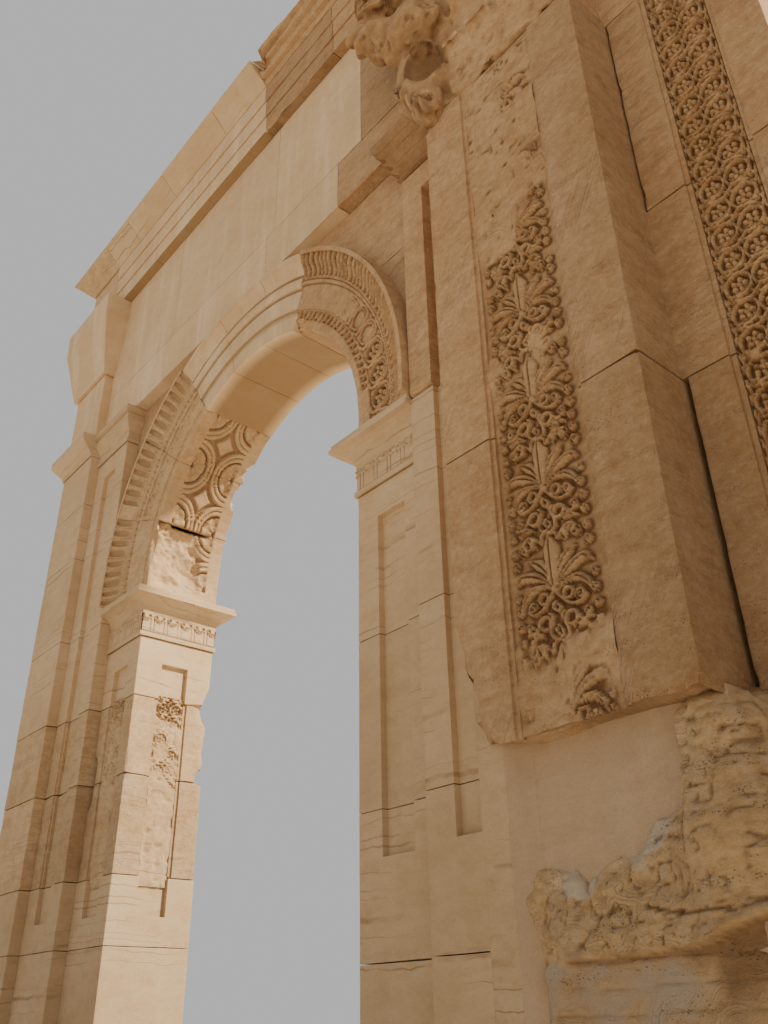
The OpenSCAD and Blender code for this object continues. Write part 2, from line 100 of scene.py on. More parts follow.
# Plan, read from the frame on the right half
X_JAMB, X_GIANT = spans("right_central_jamb")[0]
X_INNER_FRAME = spans("right_giant_pilaster")[0][1]
X_INNER_JAMB, X_PASSAGE = spans("right_inner_jamb")[0]
X_OUTER_JAMB, X_OUTER_FRAME = spans("right_outer_jamb")[0]
X_CORNER, X_END = spans("right_corner_pilaster")[0]
X_ARCH = (X_PASSAGE + X_OUTER_JAMB) / 2
BLOCK_Y, JAMB_Y, FRAME_Y, CORNER_Y, CENTRAL_Y = [spans(f"right_{name}")[1] for name in (
    "giant_pilaster", "outer_jamb", "outer_frame", "corner_pilaster", "central_jamb")]
SIDE_SPRING, CENTRAL_SPRING = spans("right_side_imposts")[2][1], spans("central_imposts")[2][1]

# Noise
TABLE = np.random.default_rng(7).random((32, 32, 32))
FRONT, PLUS_X, BACK, MINUS_X = range(4)
SIDE_OUT = np.array([(0, -1, 0), (1, 0, 0), (0, 1, 0), (-1, 0, 0)], float)


def noise(p, scale, seed=0):
    """Smooth noise from -1 to 1 at points p."""
    q = np.asarray(p, float) / scale + np.array([17.3, 5.1, 9.7]) * (seed + 1)
    cell = np.floor(q).astype(int)
    f = q - cell
    f = f * f * (3 - 2 * f)
    cell &= 31
    after = (cell + 1) & 31
    total = np.zeros(q.shape[:-1])
    for wx, ix in ((1 - f[..., 0], cell[..., 0]), (f[..., 0], after[..., 0])):
        for wy, iy in ((1 - f[..., 1], cell[..., 1]), (f[..., 1], after[..., 1])):
            low, high = TABLE[ix, iy, cell[..., 2]], TABLE[ix, iy, after[..., 2]]
            total += wx * wy * (low + (high - low) * f[..., 2])
    return 2 * total - 1


def layered(p, scale, octaves, seed):
    """Noise summed over octaves."""
    total, size = 0, 1.0
    for o in range(octaves):
        total = total + size * noise(p, scale / 2 ** o, seed + 3 * o)
        size *= 0.5
    return total


def ramp(t, low, high):
    """0 below low, 1 above high, smooth between."""
    s = np.clip((t - low) / (high - low), 0, 1)
    return s * s * (3 - 2 * s)


def random_tone(seed):
    return float(np.random.default_rng(seed * 31 + 5).random())


def name_seed(name):
    """A number from a name, the same on every run."""
    return sum((i + 3) * ord(c) for i, c in enumerate(name)) % 97


def centred(span, width):
    middle = (span[0] + span[1]) / 2
    return middle - width / 2, middle + width / 2


def on_side(span, side):
    """A span of the right half, or its mirror image on the left."""
    return span if side > 0 else (-span[1], -span[0])


class Shape:
    """Collects the surfaces of one piece."""

    def __init__(self):
        self.points, self.quads, self.caps, self.tone, self.hollow = [], [], [], [], []
        self.count = 0

    def add(self, grid, tone, hollow=None, tube=False, flip=False):
        """grid is rows x columns x 3; a tube's last column joins its first, and its ends are closed."""
        rows, cols, _ = grid.shape
        number = np.arange(rows * cols).reshape(rows, cols) + self.count
        right = np.roll(number, -1, 1) if tube else number[:, 1:]
        here = number if tube else number[:, :-1]
        quads = np.stack([here[:-1], right[:-1], right[1:], here[1:]], -1).reshape(-1, 4)
        self.points.append(grid.reshape(-1, 3))
        self.quads.append(quads[:, ::-1] if flip else quads)
        self.tone.append(np.broadcast_to(tone, (rows, cols)).reshape(-1))
        self.hollow.append(np.zeros(rows * cols) if hollow is None else hollow.reshape(-1))
        if tube:
            self.caps += [number[0][::-1].tolist(), number[-1].tolist()]
        self.count += rows * cols

    def build(self, name, slot, nodes=()):
        """Makes the object, riding on the one body."""
        points, quads = np.concatenate(self.points), np.concatenate(self.quads)
        loops = np.concatenate([quads.reshape(-1), *self.caps])
        sizes = np.append(np.full(len(quads), 4), [len(cap) for cap in self.caps]).astype(int)
        starts = np.concatenate([[0], np.cumsum(sizes)[:-1]])
        mesh = bpy.data.meshes.new(name)
        for items, count, field, values in (
                (mesh.vertices, len(points), "co", points.astype(np.float32).ravel()),
                (mesh.loops, len(loops), "vertex_index", loops.astype(np.int32)),
                (mesh.polygons, len(sizes), "loop_start", starts.astype(np.int32))):
            items.add(count)
            items.foreach_set(field, values)
        mesh.polygons.foreach_set("use_smooth", np.ones(len(sizes), bool))
        mesh.update(calc_edges=True)
        mesh.set_sharp_from_angle(angle=SHARP)
        finished(mesh, name, slot, nodes, np.concatenate(self.tone), np.concatenate(self.hollow))


def finished(mesh, name, slot, nodes, tone, hollow):
    """Makes an object of a mesh, with its finish, that stands for the nodes."""
    for label, values in (("tone", tone), ("hollow", hollow)):
        attribute = mesh.attributes.new(label, "FLOAT", "POINT")
        attribute.data.foreach_set("value", np.asarray(values, np.float32))
    mesh.validate()
    piece = linked(name, mesh)
    mesh.materials.append(MATERIALS[slot])
    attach(piece, "root")
    if nodes:
        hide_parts(*nodes)


def linked(name, data):
    piece = bpy.data.objects.new(name, data)
    bpy.context.scene.collection.objects.link(piece)
    return piece


# Stones
# Kinds of stone: wear radius, chips, unevenness, bedding and soot
OLD = dict(radius=0.004, chip=0.030, rough=0.0045, bed=0.0020, soot=0.0)
NEW = dict(radius=0.004, chip=0.012, rough=0.0010, bed=0.0003, soot=0.0)
CHIPPED = dict(radius=0.004, chip=0.050, rough=0.0180, bed=0.0050, soot=0.30)
WORN = dict(radius=0.022, chip=0.110, rough=0.0140, bed=0.0050, soot=0.0)
# How dark a face gets for each metre that it has lost, and at most
DARKENING, DARKEST = 14, 0.4


def lines(low, high, step, extra=()):
    """Places from low to high, close together at both ends and at the extra lines."""
    length = high - low
    near = [d for d in EDGE_LINES if d < length * 0.3]
    count = max(1, round((length - 2 * near[-1]) / step))
    middle = np.linspace(low + near[-1], high - near[-1], count + 1)
    marks = [e for e in extra if low + 0.002 < e < high - 0.002]
    every = np.concatenate([low + np.array(near), middle, high - np.array(near), marks])
    return np.unique(every.round(5))


def step_marks(low, high):
    """Grid lines on both sides of each step of a sunk panel."""
    edges = (low - PANEL_STEP_W, low, high, high + PANEL_STEP_W)
    return [edge + way for edge in edges for way in (-LINE, LINE)]


def panel_depth(u, z, panel, stepped, deep):
    """How far a panel is sunk at u, z, by two steps or by one."""
    u0, u1, z0, z1 = panel
    w = PANEL_STEP_W * stepped
    outer = (u > u0 - w) & (u < u1 + w) & (z > z0 - w) & (z < z1 + w)
    inner = (u > u0) & (u < u1) & (z > z0) & (z < z1)
    return np.where(inner, deep, np.where(outer, PANEL_STEP_DEPTH, 0.0))


def bite_depth(p, inward, bites):
    """How far each point goes in, to reach the far side of the ellipsoids that bite it off."""
    depth = np.zeros(p.shape[:-1])
    for centre, radii in bites:
        near = (np.abs(p - centre) < np.array(radii) * 1.3).all(-1)
        if not near.any():
            continue
        q = p[near]
        a = (q - centre) / radii * (1 + 0.16 * layered(q, 0.16, 3, 5)[..., None])
        d = inward[near] / radii
        dd, ad, aa = (d * d).sum(-1), (a * d).sum(-1), (a * a).sum(-1)
        root = np.sqrt(np.maximum(ad * ad - dd * (aa - 1), 0))
        depth[near] = np.maximum(depth[near], np.where(aa < 1, (root - ad) / dd, 0))
    return depth


def chipped(p, kind, seed):
    """Radius to which the edges are worn."""
    chips = ramp(noise(p, 0.13, seed) + 0.5 * noise(p, 0.04, seed + 1), 0.45, 1.1)
    return kind["radius"] * (1 + 0.6 * noise(p, 0.08, seed + 2)) + kind["chip"] * chips


def unevenness(p, kind, seed):
    """Depth lost all over the face."""
    depth = kind["rough"] * (0.6 + layered(p, 0.30, 3, seed + 4) * 0.6)
    return np.maximum(depth + kind["bed"] * (1 + noise(p * (1, 1, 9), 0.35, seed + 9)), 0)


def skin_depth(p, edge, kind, seed):
    """Depth lost by a face whose points are at the distance edge from a joint."""
    radius = chipped(p, kind, seed)
    near = np.clip(edge, 0, radius)
    return radius - np.sqrt(np.maximum(radius ** 2 - (radius - near) ** 2, 0)) + unevenness(p, kind, seed)


def tube_grid(x, y, heights, out, flags, steps, marks):
    """Points round a rectangle at each height, the side each belongs to, and the rectangle's corners."""
    low = np.stack([x[0] - out * flags[MINUS_X], y[0] - out * flags[FRONT]], -1)
    high = np.stack([x[1] + out * flags[PLUS_X], y[1] + out * flags[BACK]], -1)
    corners = [low, np.stack([high[:, 0], low[:, 1]], -1), high, np.stack([low[:, 0], high[:, 1]], -1)]
    grid, owner = [], []
    for side in range(4):
        a, b = (x, y, x, y)[side]
        places = np.array([0.0, 1.0])
        if steps[side]:
            places = (lines(a, b, steps[side], marks[side]) - a) / (b - a)
        places = 1 - places[::-1] if side > 1 else places
        start, end = corners[side][:, None], corners[(side + 1) % 4][:, None]
        grid.append(start + places[None, :-1, None] * (end - start))
        owner += [side] * (len(places) - 1)
    flat = np.concatenate(grid, 1)
    p = np.concatenate([flat, np.broadcast_to(heights[:, None, None], flat.shape[:2] + (1,))], -1)
    return p, np.array(owner), low, high


def stone(shape, x, y, z, kind=OLD, step=NEAR_STEP, profile=None, flags=(0, 0, 0, 0), sides=(1, 1, 1, 1),
          panels=(), bites=(), seed=0, foot=0.0, deep=PANEL_DEPTH, lean=0.0):
    """One stone as a tube round a rectangle. profile is (standing out, height) from the bottom up, on the
    sides whose flag is 1. sides makes the grid coarser on each side, and 0 is a hidden side. panels are
    (side, rectangle), and deep is how far they are sunk in old stone. foot rounds its lower edges further.
    lean makes it paler towards its left and darker towards its right."""
    crisp = step < CRISP_STEP
    step = step * (NEW_STEP_SHARE if kind is NEW else 1)
    marks, z_marks = {side: [] for side in range(4)}, []
    for side, panel in panels:
        marks[side] += step_marks(*panel[:2])
        z_marks += step_marks(*panel[2:])
    if profile is None:
        heights = lines(z[0], z[1], step, z_marks)
        out = np.zeros(len(heights))
    else:
        out, heights = profile_rows(profile, z[0], step, crisp)
    p, owner, low, high = tube_grid(x, y, heights, out, flags, [step * share for share in sides], marks)
    low = np.concatenate([low, np.full((len(low), 1), z[0])], 1)[:, None]
    high = np.concatenate([high, np.full((len(high), 1), heights[-1])], 1)[:, None]
    half = np.minimum((high - low).min(-1, keepdims=True) * 0.45, SOFT_CORNER)
    away = p - np.clip(p, low + half, high - half)
    away /= np.linalg.norm(away, axis=-1, keepdims=True) + 1e-12
    worn_foot = foot * (1 + 0.5 * noise(p, 0.2, 3)) * (1 - ramp(p[..., 2], z[0], z[0] + 3 * foot + LINE))
    radius = np.minimum(chipped(p, kind, seed) + worn_foot, (high - low).min(-1) * 0.45)[..., None]
    q = np.clip(p, low + radius, high - radius)
    v = p - q
    worn = q + v * radius / (np.linalg.norm(v, axis=-1, keepdims=True) + 1e-12)
    uneven = unevenness(p, kind, seed)
    worn = worn - away * (uneven + bite_depth(p, -away, bites))[..., None]
    deep, stepped = (PANEL_DEPTH, False) if kind is NEW else (deep, deep == PANEL_DEPTH)
    for side, panel in panels:
        u = p[..., 0] if side in (FRONT, BACK) else p[..., 1]
        sunk = panel_depth(u, p[..., 2], panel, stepped, deep) * (owner == side)
        worn = worn - sunk[..., None] * SIDE_OUT[side]
    across = (p[..., 0] - x[0]) / (x[1] - x[0]) - 0.5
    hollow = np.clip(uneven * DARKENING + kind["soot"], 0, DARKEST + kind["soot"])
    if profile is not None:
        # painted shade on the moulding's foot and on its rows that stand back
        hollow = np.maximum(hollow, moulding_shade(out, heights)[:, None])
    shape.add(worn, random_tone(seed) * (1 - 2 * lean) + lean - 2 * lean * across, hollow, tube=True)


def profile_rows(profile, z0, step, crisp):
    """Rows of a moulding, close together at its corners if it is to be crisp."""
    out, heights = [], []
    for (o0, h0), (o1, h1) in zip(profile[:-1], profile[1:]):
        length = math.hypot(o1 - o0, h1 - h0)
        near = [CORNER_ROW / length, 1 - CORNER_ROW / length] if crisp and length > 3 * CORNER_ROW else []
        share = np.unique(np.append(np.linspace(0, 1, max(1, round(length / step)) + 1), near))
        out += list(o0 + (o1 - o0) * share)
        heights += list(z0 + h0 + (h1 - h0) * share)
    return np.array(out), np.array(heights)


def moulding_shade(out, heights):
    """Painted shade on each row of a moulding: on its foot, and on rows that stand back from their
    neighbours.
    """
    t = np.concatenate([[0], np.cumsum(np.hypot(np.diff(out), np.diff(heights)))])
    around_it = (np.interp(t - CORNER_ROW, t, out) + np.interp(t + CORNER_ROW, t, out)) / 2
    dark = np.clip((around_it - out) / (0.6 * CORNER_ROW), 0, 1)
    dark[0] = 0.9
    return dark


def rimmed(p, inward):
    """The grid with one more row and column on each side, turned into the joints."""
    p = np.concatenate([p[:1] + inward, p, p[-1:] + inward])
    return np.concatenate([p[:, :1] + inward, p, p[:, -1:] + inward], 1)


def wall_stone(shape, left, right, z, y, side, kind, step, seed):
    """One stone of a wall's front or back, whose ends follow functions of height."""
    zs = lines(z[0] + GAP / 2, z[1] - GAP / 2, step)
    a, b = left(zs), right(zs)
    share = lines(0, 1, step / max(0.05, float(np.mean(b - a))))
    x = a[:, None] + GAP / 2 + share * (b - a - GAP)[:, None]
    p = np.stack([x, np.full(x.shape, y), np.broadcast_to(zs[:, None], x.shape)], -1)
    edge = np.minimum(np.minimum(x - a[:, None], b[:, None] - x), np.minimum(zs - z[0], z[1] - zs)[:, None])
    out = SIDE_OUT[side]
    depth = skin_depth(p, np.maximum(edge, 0), kind, seed)
    hollow = np.pad(np.clip(depth * DARKENING, 0, DARKEST), 1, mode="edge")
    shape.add(rimmed(p - out * depth[..., None], -out * RIM_DEPTH), random_tone(seed), hollow,
              flip=side == BACK)


# Carved ornament, as heights from 0 to 1 over flat coordinates in metres
def ridge(distance, width):
    """A round ridge of the given half width."""
    return np.sqrt(np.clip(1 - (distance / width) ** 2, 0, 1))


def hoop(x, y, cx, cy, radius, width):
    return ridge(np.hypot(x - cx, y - cy) - radius, width)


def boss(x, y, cx, cy, radius):
    return ridge(np.hypot(x - cx, y - cy), radius)


def highest(*heights):
    """The highest of several reliefs at each point."""
    top = heights[0]
    for height in heights[1:]:
        top = np.maximum(top, height)
    return top


def stroke(x, y, points, widths):
    """A ridge along a path whose width changes from point to point."""
    height = np.zeros(np.broadcast(x, y).shape)
    for (x0, y0), (x1, y1), w0, w1 in zip(points[:-1], points[1:], widths[:-1], widths[1:]):
        dx, dy = x1 - x0, y1 - y0
        t = np.clip(((x - x0) * dx + (y - y0) * dy) / (dx * dx + dy * dy), 0, 1)
        height = np.maximum(height, ridge(np.hypot(x - x0 - t * dx, y - y0 - t * dy), w0 + (w1 - w0) * t))
    return height


def curve(points, count):
    """A smooth path through a few points."""
    p = np.array(points, float)
    p = np.vstack([2 * p[0] - p[1], p, 2 * p[-1] - p[-2]])
    path = []
    for i in range(1, len(p) - 2):
        a, b, c, d = p[i - 1:i + 3]
        for t in np.linspace(0, 1, count, endpoint=False):
            path.append(0.5 * (2 * b + (c - a) * t + (2 * a - 5 * b + 4 * c - d) * t * t
                               + (3 * b - a - 3 * c + d) * t ** 3))
    path.append(p[-2])
    return np.array(path)


def stem(x, y, points, count, width):
    """A ridge of one width along a smooth path."""
    path = curve(points, count)
    return stroke(x, y, path, np.full(len(path), width))


VEIN_WIDTH, VEIN_DEPTH, LOBE_SHARE = 0.0055, 0.6, 0.30


def leaf(x, y, points, widths):
    """A curved leaf with lobed edges and a groove down its middle."""
    path = curve(points, 6)
    at = np.linspace(0, len(widths) - 1, len(path))
    lobes = 1 + LOBE_SHARE * np.cos(np.arange(len(path)) * math.pi)
    body = stroke(x, y, path, np.interp(at, range(len(widths)), widths) * lobes)
    vein = stroke(x, y, path[:-2], np.full(len(path) - 2, VEIN_WIDTH))
    return np.maximum(body - VEIN_DEPTH * vein, 0)


def curl(x, y, cx, cy, radius, width, hand):
    """A spiral of one and a half turns."""
    dx, dy = (x - cx) * hand, y - cy
    distance, turn = np.hypot(dx, dy), np.arctan2(dy, dx) / (2 * math.pi)
    pitch = radius / 1.5
    off = ((distance / pitch - turn + 0.5) % 1.0 - 0.5) * pitch
    return np.where(distance < radius, ridge(off, width), 0)


def rosette(x, y, cx, cy, size, petals=5):
    """A small flower of round petals about a boss."""
    radius, angle = np.hypot(x - cx, y - cy), np.arctan2(y - cy, x - cx)
    fold = (angle * petals / (2 * math.pi)) % 1.0 - 0.5
    side = fold * 2 * math.pi / petals * radius
    petal = ridge(np.hypot((radius - 0.62 * size) / (0.36 * size), side / (0.30 * size)), 1.0)
    return np.maximum(0.85 * petal, boss(x, y, cx, cy, 0.24 * size))


# Strip of the giant pilasters: stages of leaves one above another. One stage has leaves as (path, widths),
# rings as (x, z, radius, width), curls with their hand, and stems as paths, all on the right of its middle
FAN_FEET = (2.92, 3.55, 4.167, 4.77, 5.43, 6.10, 6.73, 7.41, 7.89)
FAN_REACH = (0.33, 0.36)
FAN_LEAVES = (
    ([(0, 0.02), (0, 0.12), (0, 0.24), (0, 0.335)], [0.012, 0.040, 0.044, 0.006]),
    ([(0.012, 0.02), (0.035, 0.10), (0.085, 0.17), (0.150, 0.215)], [0.008, 0.016, 0.028, 0.008]),
    ([(0.014, 0.015), (0.06, 0.070), (0.13, 0.115), (0.205, 0.135), (0.250, 0.105)],
     [0.007, 0.014, 0.026, 0.024, 0.006]),
    ([(0.014, 0.008), (0.075, 0.038), (0.150, 0.040), (0.205, 0.000), (0.225, -0.045)],
     [0.007, 0.012, 0.020, 0.016, 0.006]),
    ([(0.10, 0.275), (0.125, 0.33), (0.165, 0.375)], [0.006, 0.018, 0.006]),
    ([(0.10, -0.235), (0.145, -0.215), (0.195, -0.235)], [0.006, 0.018, 0.008]),
)
FAN_RINGS = ((0.080, -0.028, 0.030, 0.009), (0.0, -0.090, 0.022, 0.010), (0.085, -0.165, 0.036, 0.010),
             (0.138, -0.300, 0.036, 0.009), (0.0, -0.220, 0.020, 0.008))
FAN_CURLS = ((0.155, -0.060, 0.034, 0.0085, 1), (0.180, 0.290, 0.036, 0.0085, -1),
             (0.250, 0.215, 0.028, 0.008, 1), (0.248, -0.055, 0.026, 0.008, -1),
             (0.252, -0.140, 0.026, 0.008, 1), (0.190, -0.165, 0.026, 0.008, -1),
             (0.252, -0.225, 0.024, 0.008, -1), (0.250, 0.295, 0.026, 0.008, -1),
             (0.255, 0.030, 0.022, 0.007, 1))
FAN_STEMS = (
    [(0.010, -0.275), (0.048, -0.250), (0.052, -0.205), (0.030, -0.140), (0.052, -0.120)],
    [(0.0, -0.262), (0.045, -0.285), (0.052, -0.330), (0.078, -0.300), (0.105, -0.285), (0.125, -0.330)],
    [(0.015, -0.012), (0.055, -0.062), (0.105, -0.095), (0.160, -0.097), (0.190, -0.070)],
    [(0.125, -0.165), (0.165, -0.200), (0.215, -0.190)],
)


def fan(x, z):
    """One stage of the strip: a fan of leaves on scrolls, its foot at 0, 0."""
    hand = np.where(x > 0, 1, -1)
    x, z = np.abs(x), z + 0.008 * hand
    return highest(boss(x, z, 0.0, 0.004, 0.026), *[leaf(x, z, *shape) for shape in FAN_LEAVES],
                   *[0.85 * hoop(x, z, *ring) for ring in FAN_RINGS],
                   *[0.85 * curl(x, z, *c) for c in FAN_CURLS],
                   *[0.9 * stem(x, z, path, 6, 0.009) for path in FAN_STEMS])


def candelabrum(x, z):
    """Stages of leaves up a strip."""
    h = np.zeros(x.shape)
    for foot in FAN_FEET:
        rows = (z[:, 0] > foot - FAN_REACH[0]) & (z[:, 0] < foot + FAN_REACH[1])
        if rows.any():
            h[rows] = np.maximum(h[rows], fan(x[rows], z[rows] - foot))
    return h


def flat_noise(x, z, size, seed):
    return layered(np.stack([x, x * 0, z], -1), size, 3, seed)


# How much of the left strip's carving is left, by height, and where its left half is gone
STRIP_LEFT = ((2.84, 0.25), (2.92, 0.45), (3.02, 0.2), (3.3, 0.3), (3.45, 0.9), (4.64, 1.0), (4.74, 0.7),
              (5.0, 0.6), (5.12, 0.45), (5.28, 0.5), (5.38, 1.0), (5.97, 0.95), (6.05, 0.55), (6.36, 0.5),
              (6.46, 0.2), (7.3, 0.2), (7.4, 0.55), (7.56, 0.5), (7.66, 0.15), (7.95, 0.1))
HALF_GONE = ((6.02, 6.42), (7.3, 7.6))


def worn_strip(x, z):
    """The left strip: whole in its middle, and worn away in patches."""
    left = np.interp(z, *zip(*STRIP_LEFT))
    for low, high in HALF_GONE:
        left = np.where((z > low) & (z < high) & (x < 0.02), left * 0.45, left)
    return candelabrum(x, z), ramp(left + 0.30 * flat_noise(x, z, 0.22, 41), 0.18, 0.62)


def whole_strip(x, z):
    return candelabrum(x, z), ramp(0.75 + 0.4 * flat_noise(x, z, 0.5, 47), 0.1, 0.6)


# Strip of the central jambs: two columns of ringed flowers
VINE_PERIOD, VINE_HALF = 0.188, 0.081


def vine(x, z):
    """Two columns of ringed flowers with stems between."""
    z = (z + VINE_PERIOD / 2) % VINE_PERIOD - VINE_PERIOD / 2
    x = np.abs(x)
    h = highest(hoop(x, z, VINE_HALF, 0, 0.076, 0.009), rosette(x, z, VINE_HALF, 0.004, 0.056),
                leaf(x, z, [(0.128, -0.042), (0.098, -0.058), (0.058, -0.052), (0.034, -0.024)],
                     [0.006, 0.013, 0.013, 0.005]))
    for end in (-1, 1):
        link = [(0.004, end * 0.094), (0.03, end * 0.072), (0.07, end * 0.080), (0.13, end * 0.094)]
        h = highest(h, stem(x, z, link, 5, 0.008), 0.8 * hoop(x, z, 0.0, end * 0.094, 0.013, 0.006),
                    0.8 * leaf(x, z, [(0.135, end * 0.085), (0.150, end * 0.060), (0.160, end * 0.03)],
                               [0.006, 0.012, 0.005]),
                    0.8 * leaf(x, z, [(0.170, end * 0.094), (0.176, end * 0.055), (0.180, end * 0.02)],
                               [0.006, 0.009, 0.005]))
    return h


def vine_strip(x, z):
    return vine(x, z), ramp(0.85 + 0.35 * flat_noise(x, z, 0.4, 51), 0.1, 0.6)


# How much is left of the vine on the outer jamb, by height, and its scale
VINE_LEFT = ((2.7, 0.10), (3.2, 0.22), (3.7, 0.12), (4.2, 0.25), (4.26, 0.30), (4.30, 0.98), (4.5, 0.95))
SMALL_VINE = 1.25


def worn_vine(x, z):
    """A vine that is clear at the top and worn down to a pitted field below."""
    left = np.interp(z, *zip(*VINE_LEFT))
    return vine(x * SMALL_VINE, z * SMALL_VINE), ramp(left + 0.35 * flat_noise(x, z, 0.30, 57), 0.15, 0.60)


EGG_PITCH, EGG_Z = 0.155, 0.150


def hanging_eggs(x, z):
    """Small eggs under the top of an impost's frieze, with a peg and a groove between them."""
    u = (x / EGG_PITCH) % 1.0 * EGG_PITCH - EGG_PITCH / 2
    groove = ridge(np.abs(u) - 0.058, 0.006) * (z < EGG_Z)
    ground = np.where(z > 0, 0.30, 0.0) * np.ones(x.shape) * (1 - groove)
    egg = ridge(np.hypot(u / 0.026, (z - EGG_Z) / 0.026), 1.0)
    curls = hoop(np.abs(u), z, 0.040, 0.160, 0.022, 0.007)
    shell = hoop(u, z, 0.0, 0.146, 0.036, 0.006) * (z < EGG_Z)
    return highest(ground, egg, 0.8 * boss(u, z, 0.0, 0.108, 0.012), curls, shell), np.ones(x.shape)


def around(values, reach):
    """Mean over a square of grid points."""
    for axis in (0, 1):
        values = sum(np.roll(values, k, axis) for k in range(-reach, reach + 1)) / (2 * reach + 1)
    return values


def recess_shade(height, reach=3):
    """Painted shade at a grid point, from how far it lies below its neighbours."""
    return np.clip((around(height, reach) - height) / 0.010, 0, 1)


def relief(name, side, across, face, z, height, feature, step, base=0.0, rough=0.0025, slot="carved_stone",
           shape=None, fine=None):
    """A carved field on a face that looks towards a side, over the span across and z. Outside the heights
    fine its rows are twice as far apart. With a shape given it is added to it, or else built."""
    us = np.linspace(*across, round((across[1] - across[0]) / step) + 1)
    fine = fine or z
    zs = np.concatenate([np.arange(z[0], fine[0], 2 * step), np.arange(fine[0], fine[1], step),
                         np.arange(fine[1], z[1] - step, 2 * step), [z[1]]])
    u, w = np.meshgrid(us, zs)
    h, keep = feature(u - (across[0] + across[1]) / 2, w - base)
    level = np.full(u.shape, float(face))
    p = np.stack([u, level, w] if side in (FRONT, BACK) else [level, u, w], -1)
    pitted = 0.45 + 0.30 * layered(p, 0.15, 4, 3) - 0.35 * ramp(noise(p, 0.060, 10), 0.30, 0.85)
    raised = height * (h * keep + pitted * (1 - keep)) + rough * layered(p, 0.12, 4, 14)
    # painted shade in the recesses round the raised carving and on its low ground
    hollow = np.clip(recess_shade(raised) + (0.25 - h) * keep, 0, 1)
    target = shape or Shape()
    target.add(p + raised[..., None] * SIDE_OUT[side], 0.5, hollow, flip=side in (BACK, MINUS_X))
    if shape is None:
        target.build(name, slot)


# Arches
def dense(points, step):
    """Points along a polyline, with each corner kept."""
    path = [np.array(points[:1], float)]
    for a, b in zip(points[:-1], points[1:]):
        a, b = np.array(a, float), np.array(b, float)
        count = max(1, round(np.linalg.norm(b - a) / step))
        path.append(a + (b - a) * (np.arange(1, count + 1) / count)[:, None])
    return np.concatenate(path)


def section_normals(path):
    """Outward normals of a section path that runs front, soffit, back."""
    d = np.diff(path, axis=0)
    d /= np.linalg.norm(d, axis=1, keepdims=True) + 1e-12
    n = np.stack([-d[:, 1], d[:, 0]], -1)
    n = np.vstack([n[:1], n[:-1] + n[1:], n[-1:]])
    return n / (np.linalg.norm(n, axis=1, keepdims=True) + 1e-12)


def arch_length(e, mid):
    """Length along an arch at radius mid. e is its angle, and below the springing the length itself."""
    return np.where(e < 0, e, np.where(e > math.pi, math.pi * mid + (e - math.pi), e * mid))


def arch_station(s, mid):
    return np.where(s < 0, s, np.where(s > math.pi * mid, math.pi + (s - math.pi * mid), s / mid))


def arch_point(centre, r, y, e):
    """A point of the arch; below its springing the stone runs straight down."""
    turn = np.clip(e, 0, math.pi)
    drop = np.minimum(e, 0) + np.minimum(math.pi - e, 0)
    x = centre[0] + r * np.cos(turn)
    return np.stack([x, y + 0 * x, centre[1] + r * np.sin(turn) + drop], -1)


def repeat(along, pitch):
    """Distance from the middle of the nearest repeat."""
    return ((along / pitch) % 1.0 - 0.5) * pitch


# Lengths of one repeat of each band of the rings, and places of the scroll and the ribbon across them
TONGUE, BEAD, SCROLL, RIBBON, LONG_LEAF, GARLAND, CHAIN = 0.106, 0.036, 0.252, 0.098, 0.074, 0.29, 0.072
SCROLL_MID, SCROLL_HALF, SCROLL_SHIFT, RIBBON_MID, RIBBON_HALF = 0.310, 0.132, 0.078, 0.126, 0.047
SCROLL_STEM = [(-0.209, -0.122), (-0.146, -0.100), (-0.118, 0.0), (-0.084, 0.092), (0.0, 0.122),
               (0.078, 0.100), (0.111, 0.028), (0.116, -0.045)]
GARLAND_LEAF = ([(0.01, 0.055), (0.05, 0.0), (0.085, -0.045), (0.125, 0.0)], [0.012, 0.024, 0.028, 0.012])
# A stretch of the row of tongues is plain new stone
PLAIN_TONGUES = (5.80, 5.95)


def within(v, low, high):
    return (v > low) & (v < high)


def tongue_bands(along, v):
    """Depth below the face: a row of hollow tongues, a chain of small rings and a worn garland."""
    x = repeat(along, TONGUE)
    end = np.hypot(x, np.maximum(v - 0.666, 0))
    flute = 0.040 * ridge(end, 0.037) * (0.3 + 0.7 * ramp(v, 0.46, 0.60)) + 0.012 * ridge(
        np.abs(x) - TONGUE / 2, 0.008)
    depth = np.where(within(v, 0.470, 0.706) & ~within(along, *PLAIN_TONGUES), flute, 0.0)
    ring = hoop(repeat(along, CHAIN) / 0.024, (v - 0.418) / 0.032, 0, 0, 0.80, 0.42)
    depth = np.where(within(v, 0.380, 0.456), 0.024 * (1 - ring), depth)
    leafy = leaf(np.abs(repeat(along, GARLAND)), v - 0.27, *GARLAND_LEAF)
    return np.where(within(v, 0.19, 0.34), 0.020 * (1 - leafy) * (along < 5.90), depth)


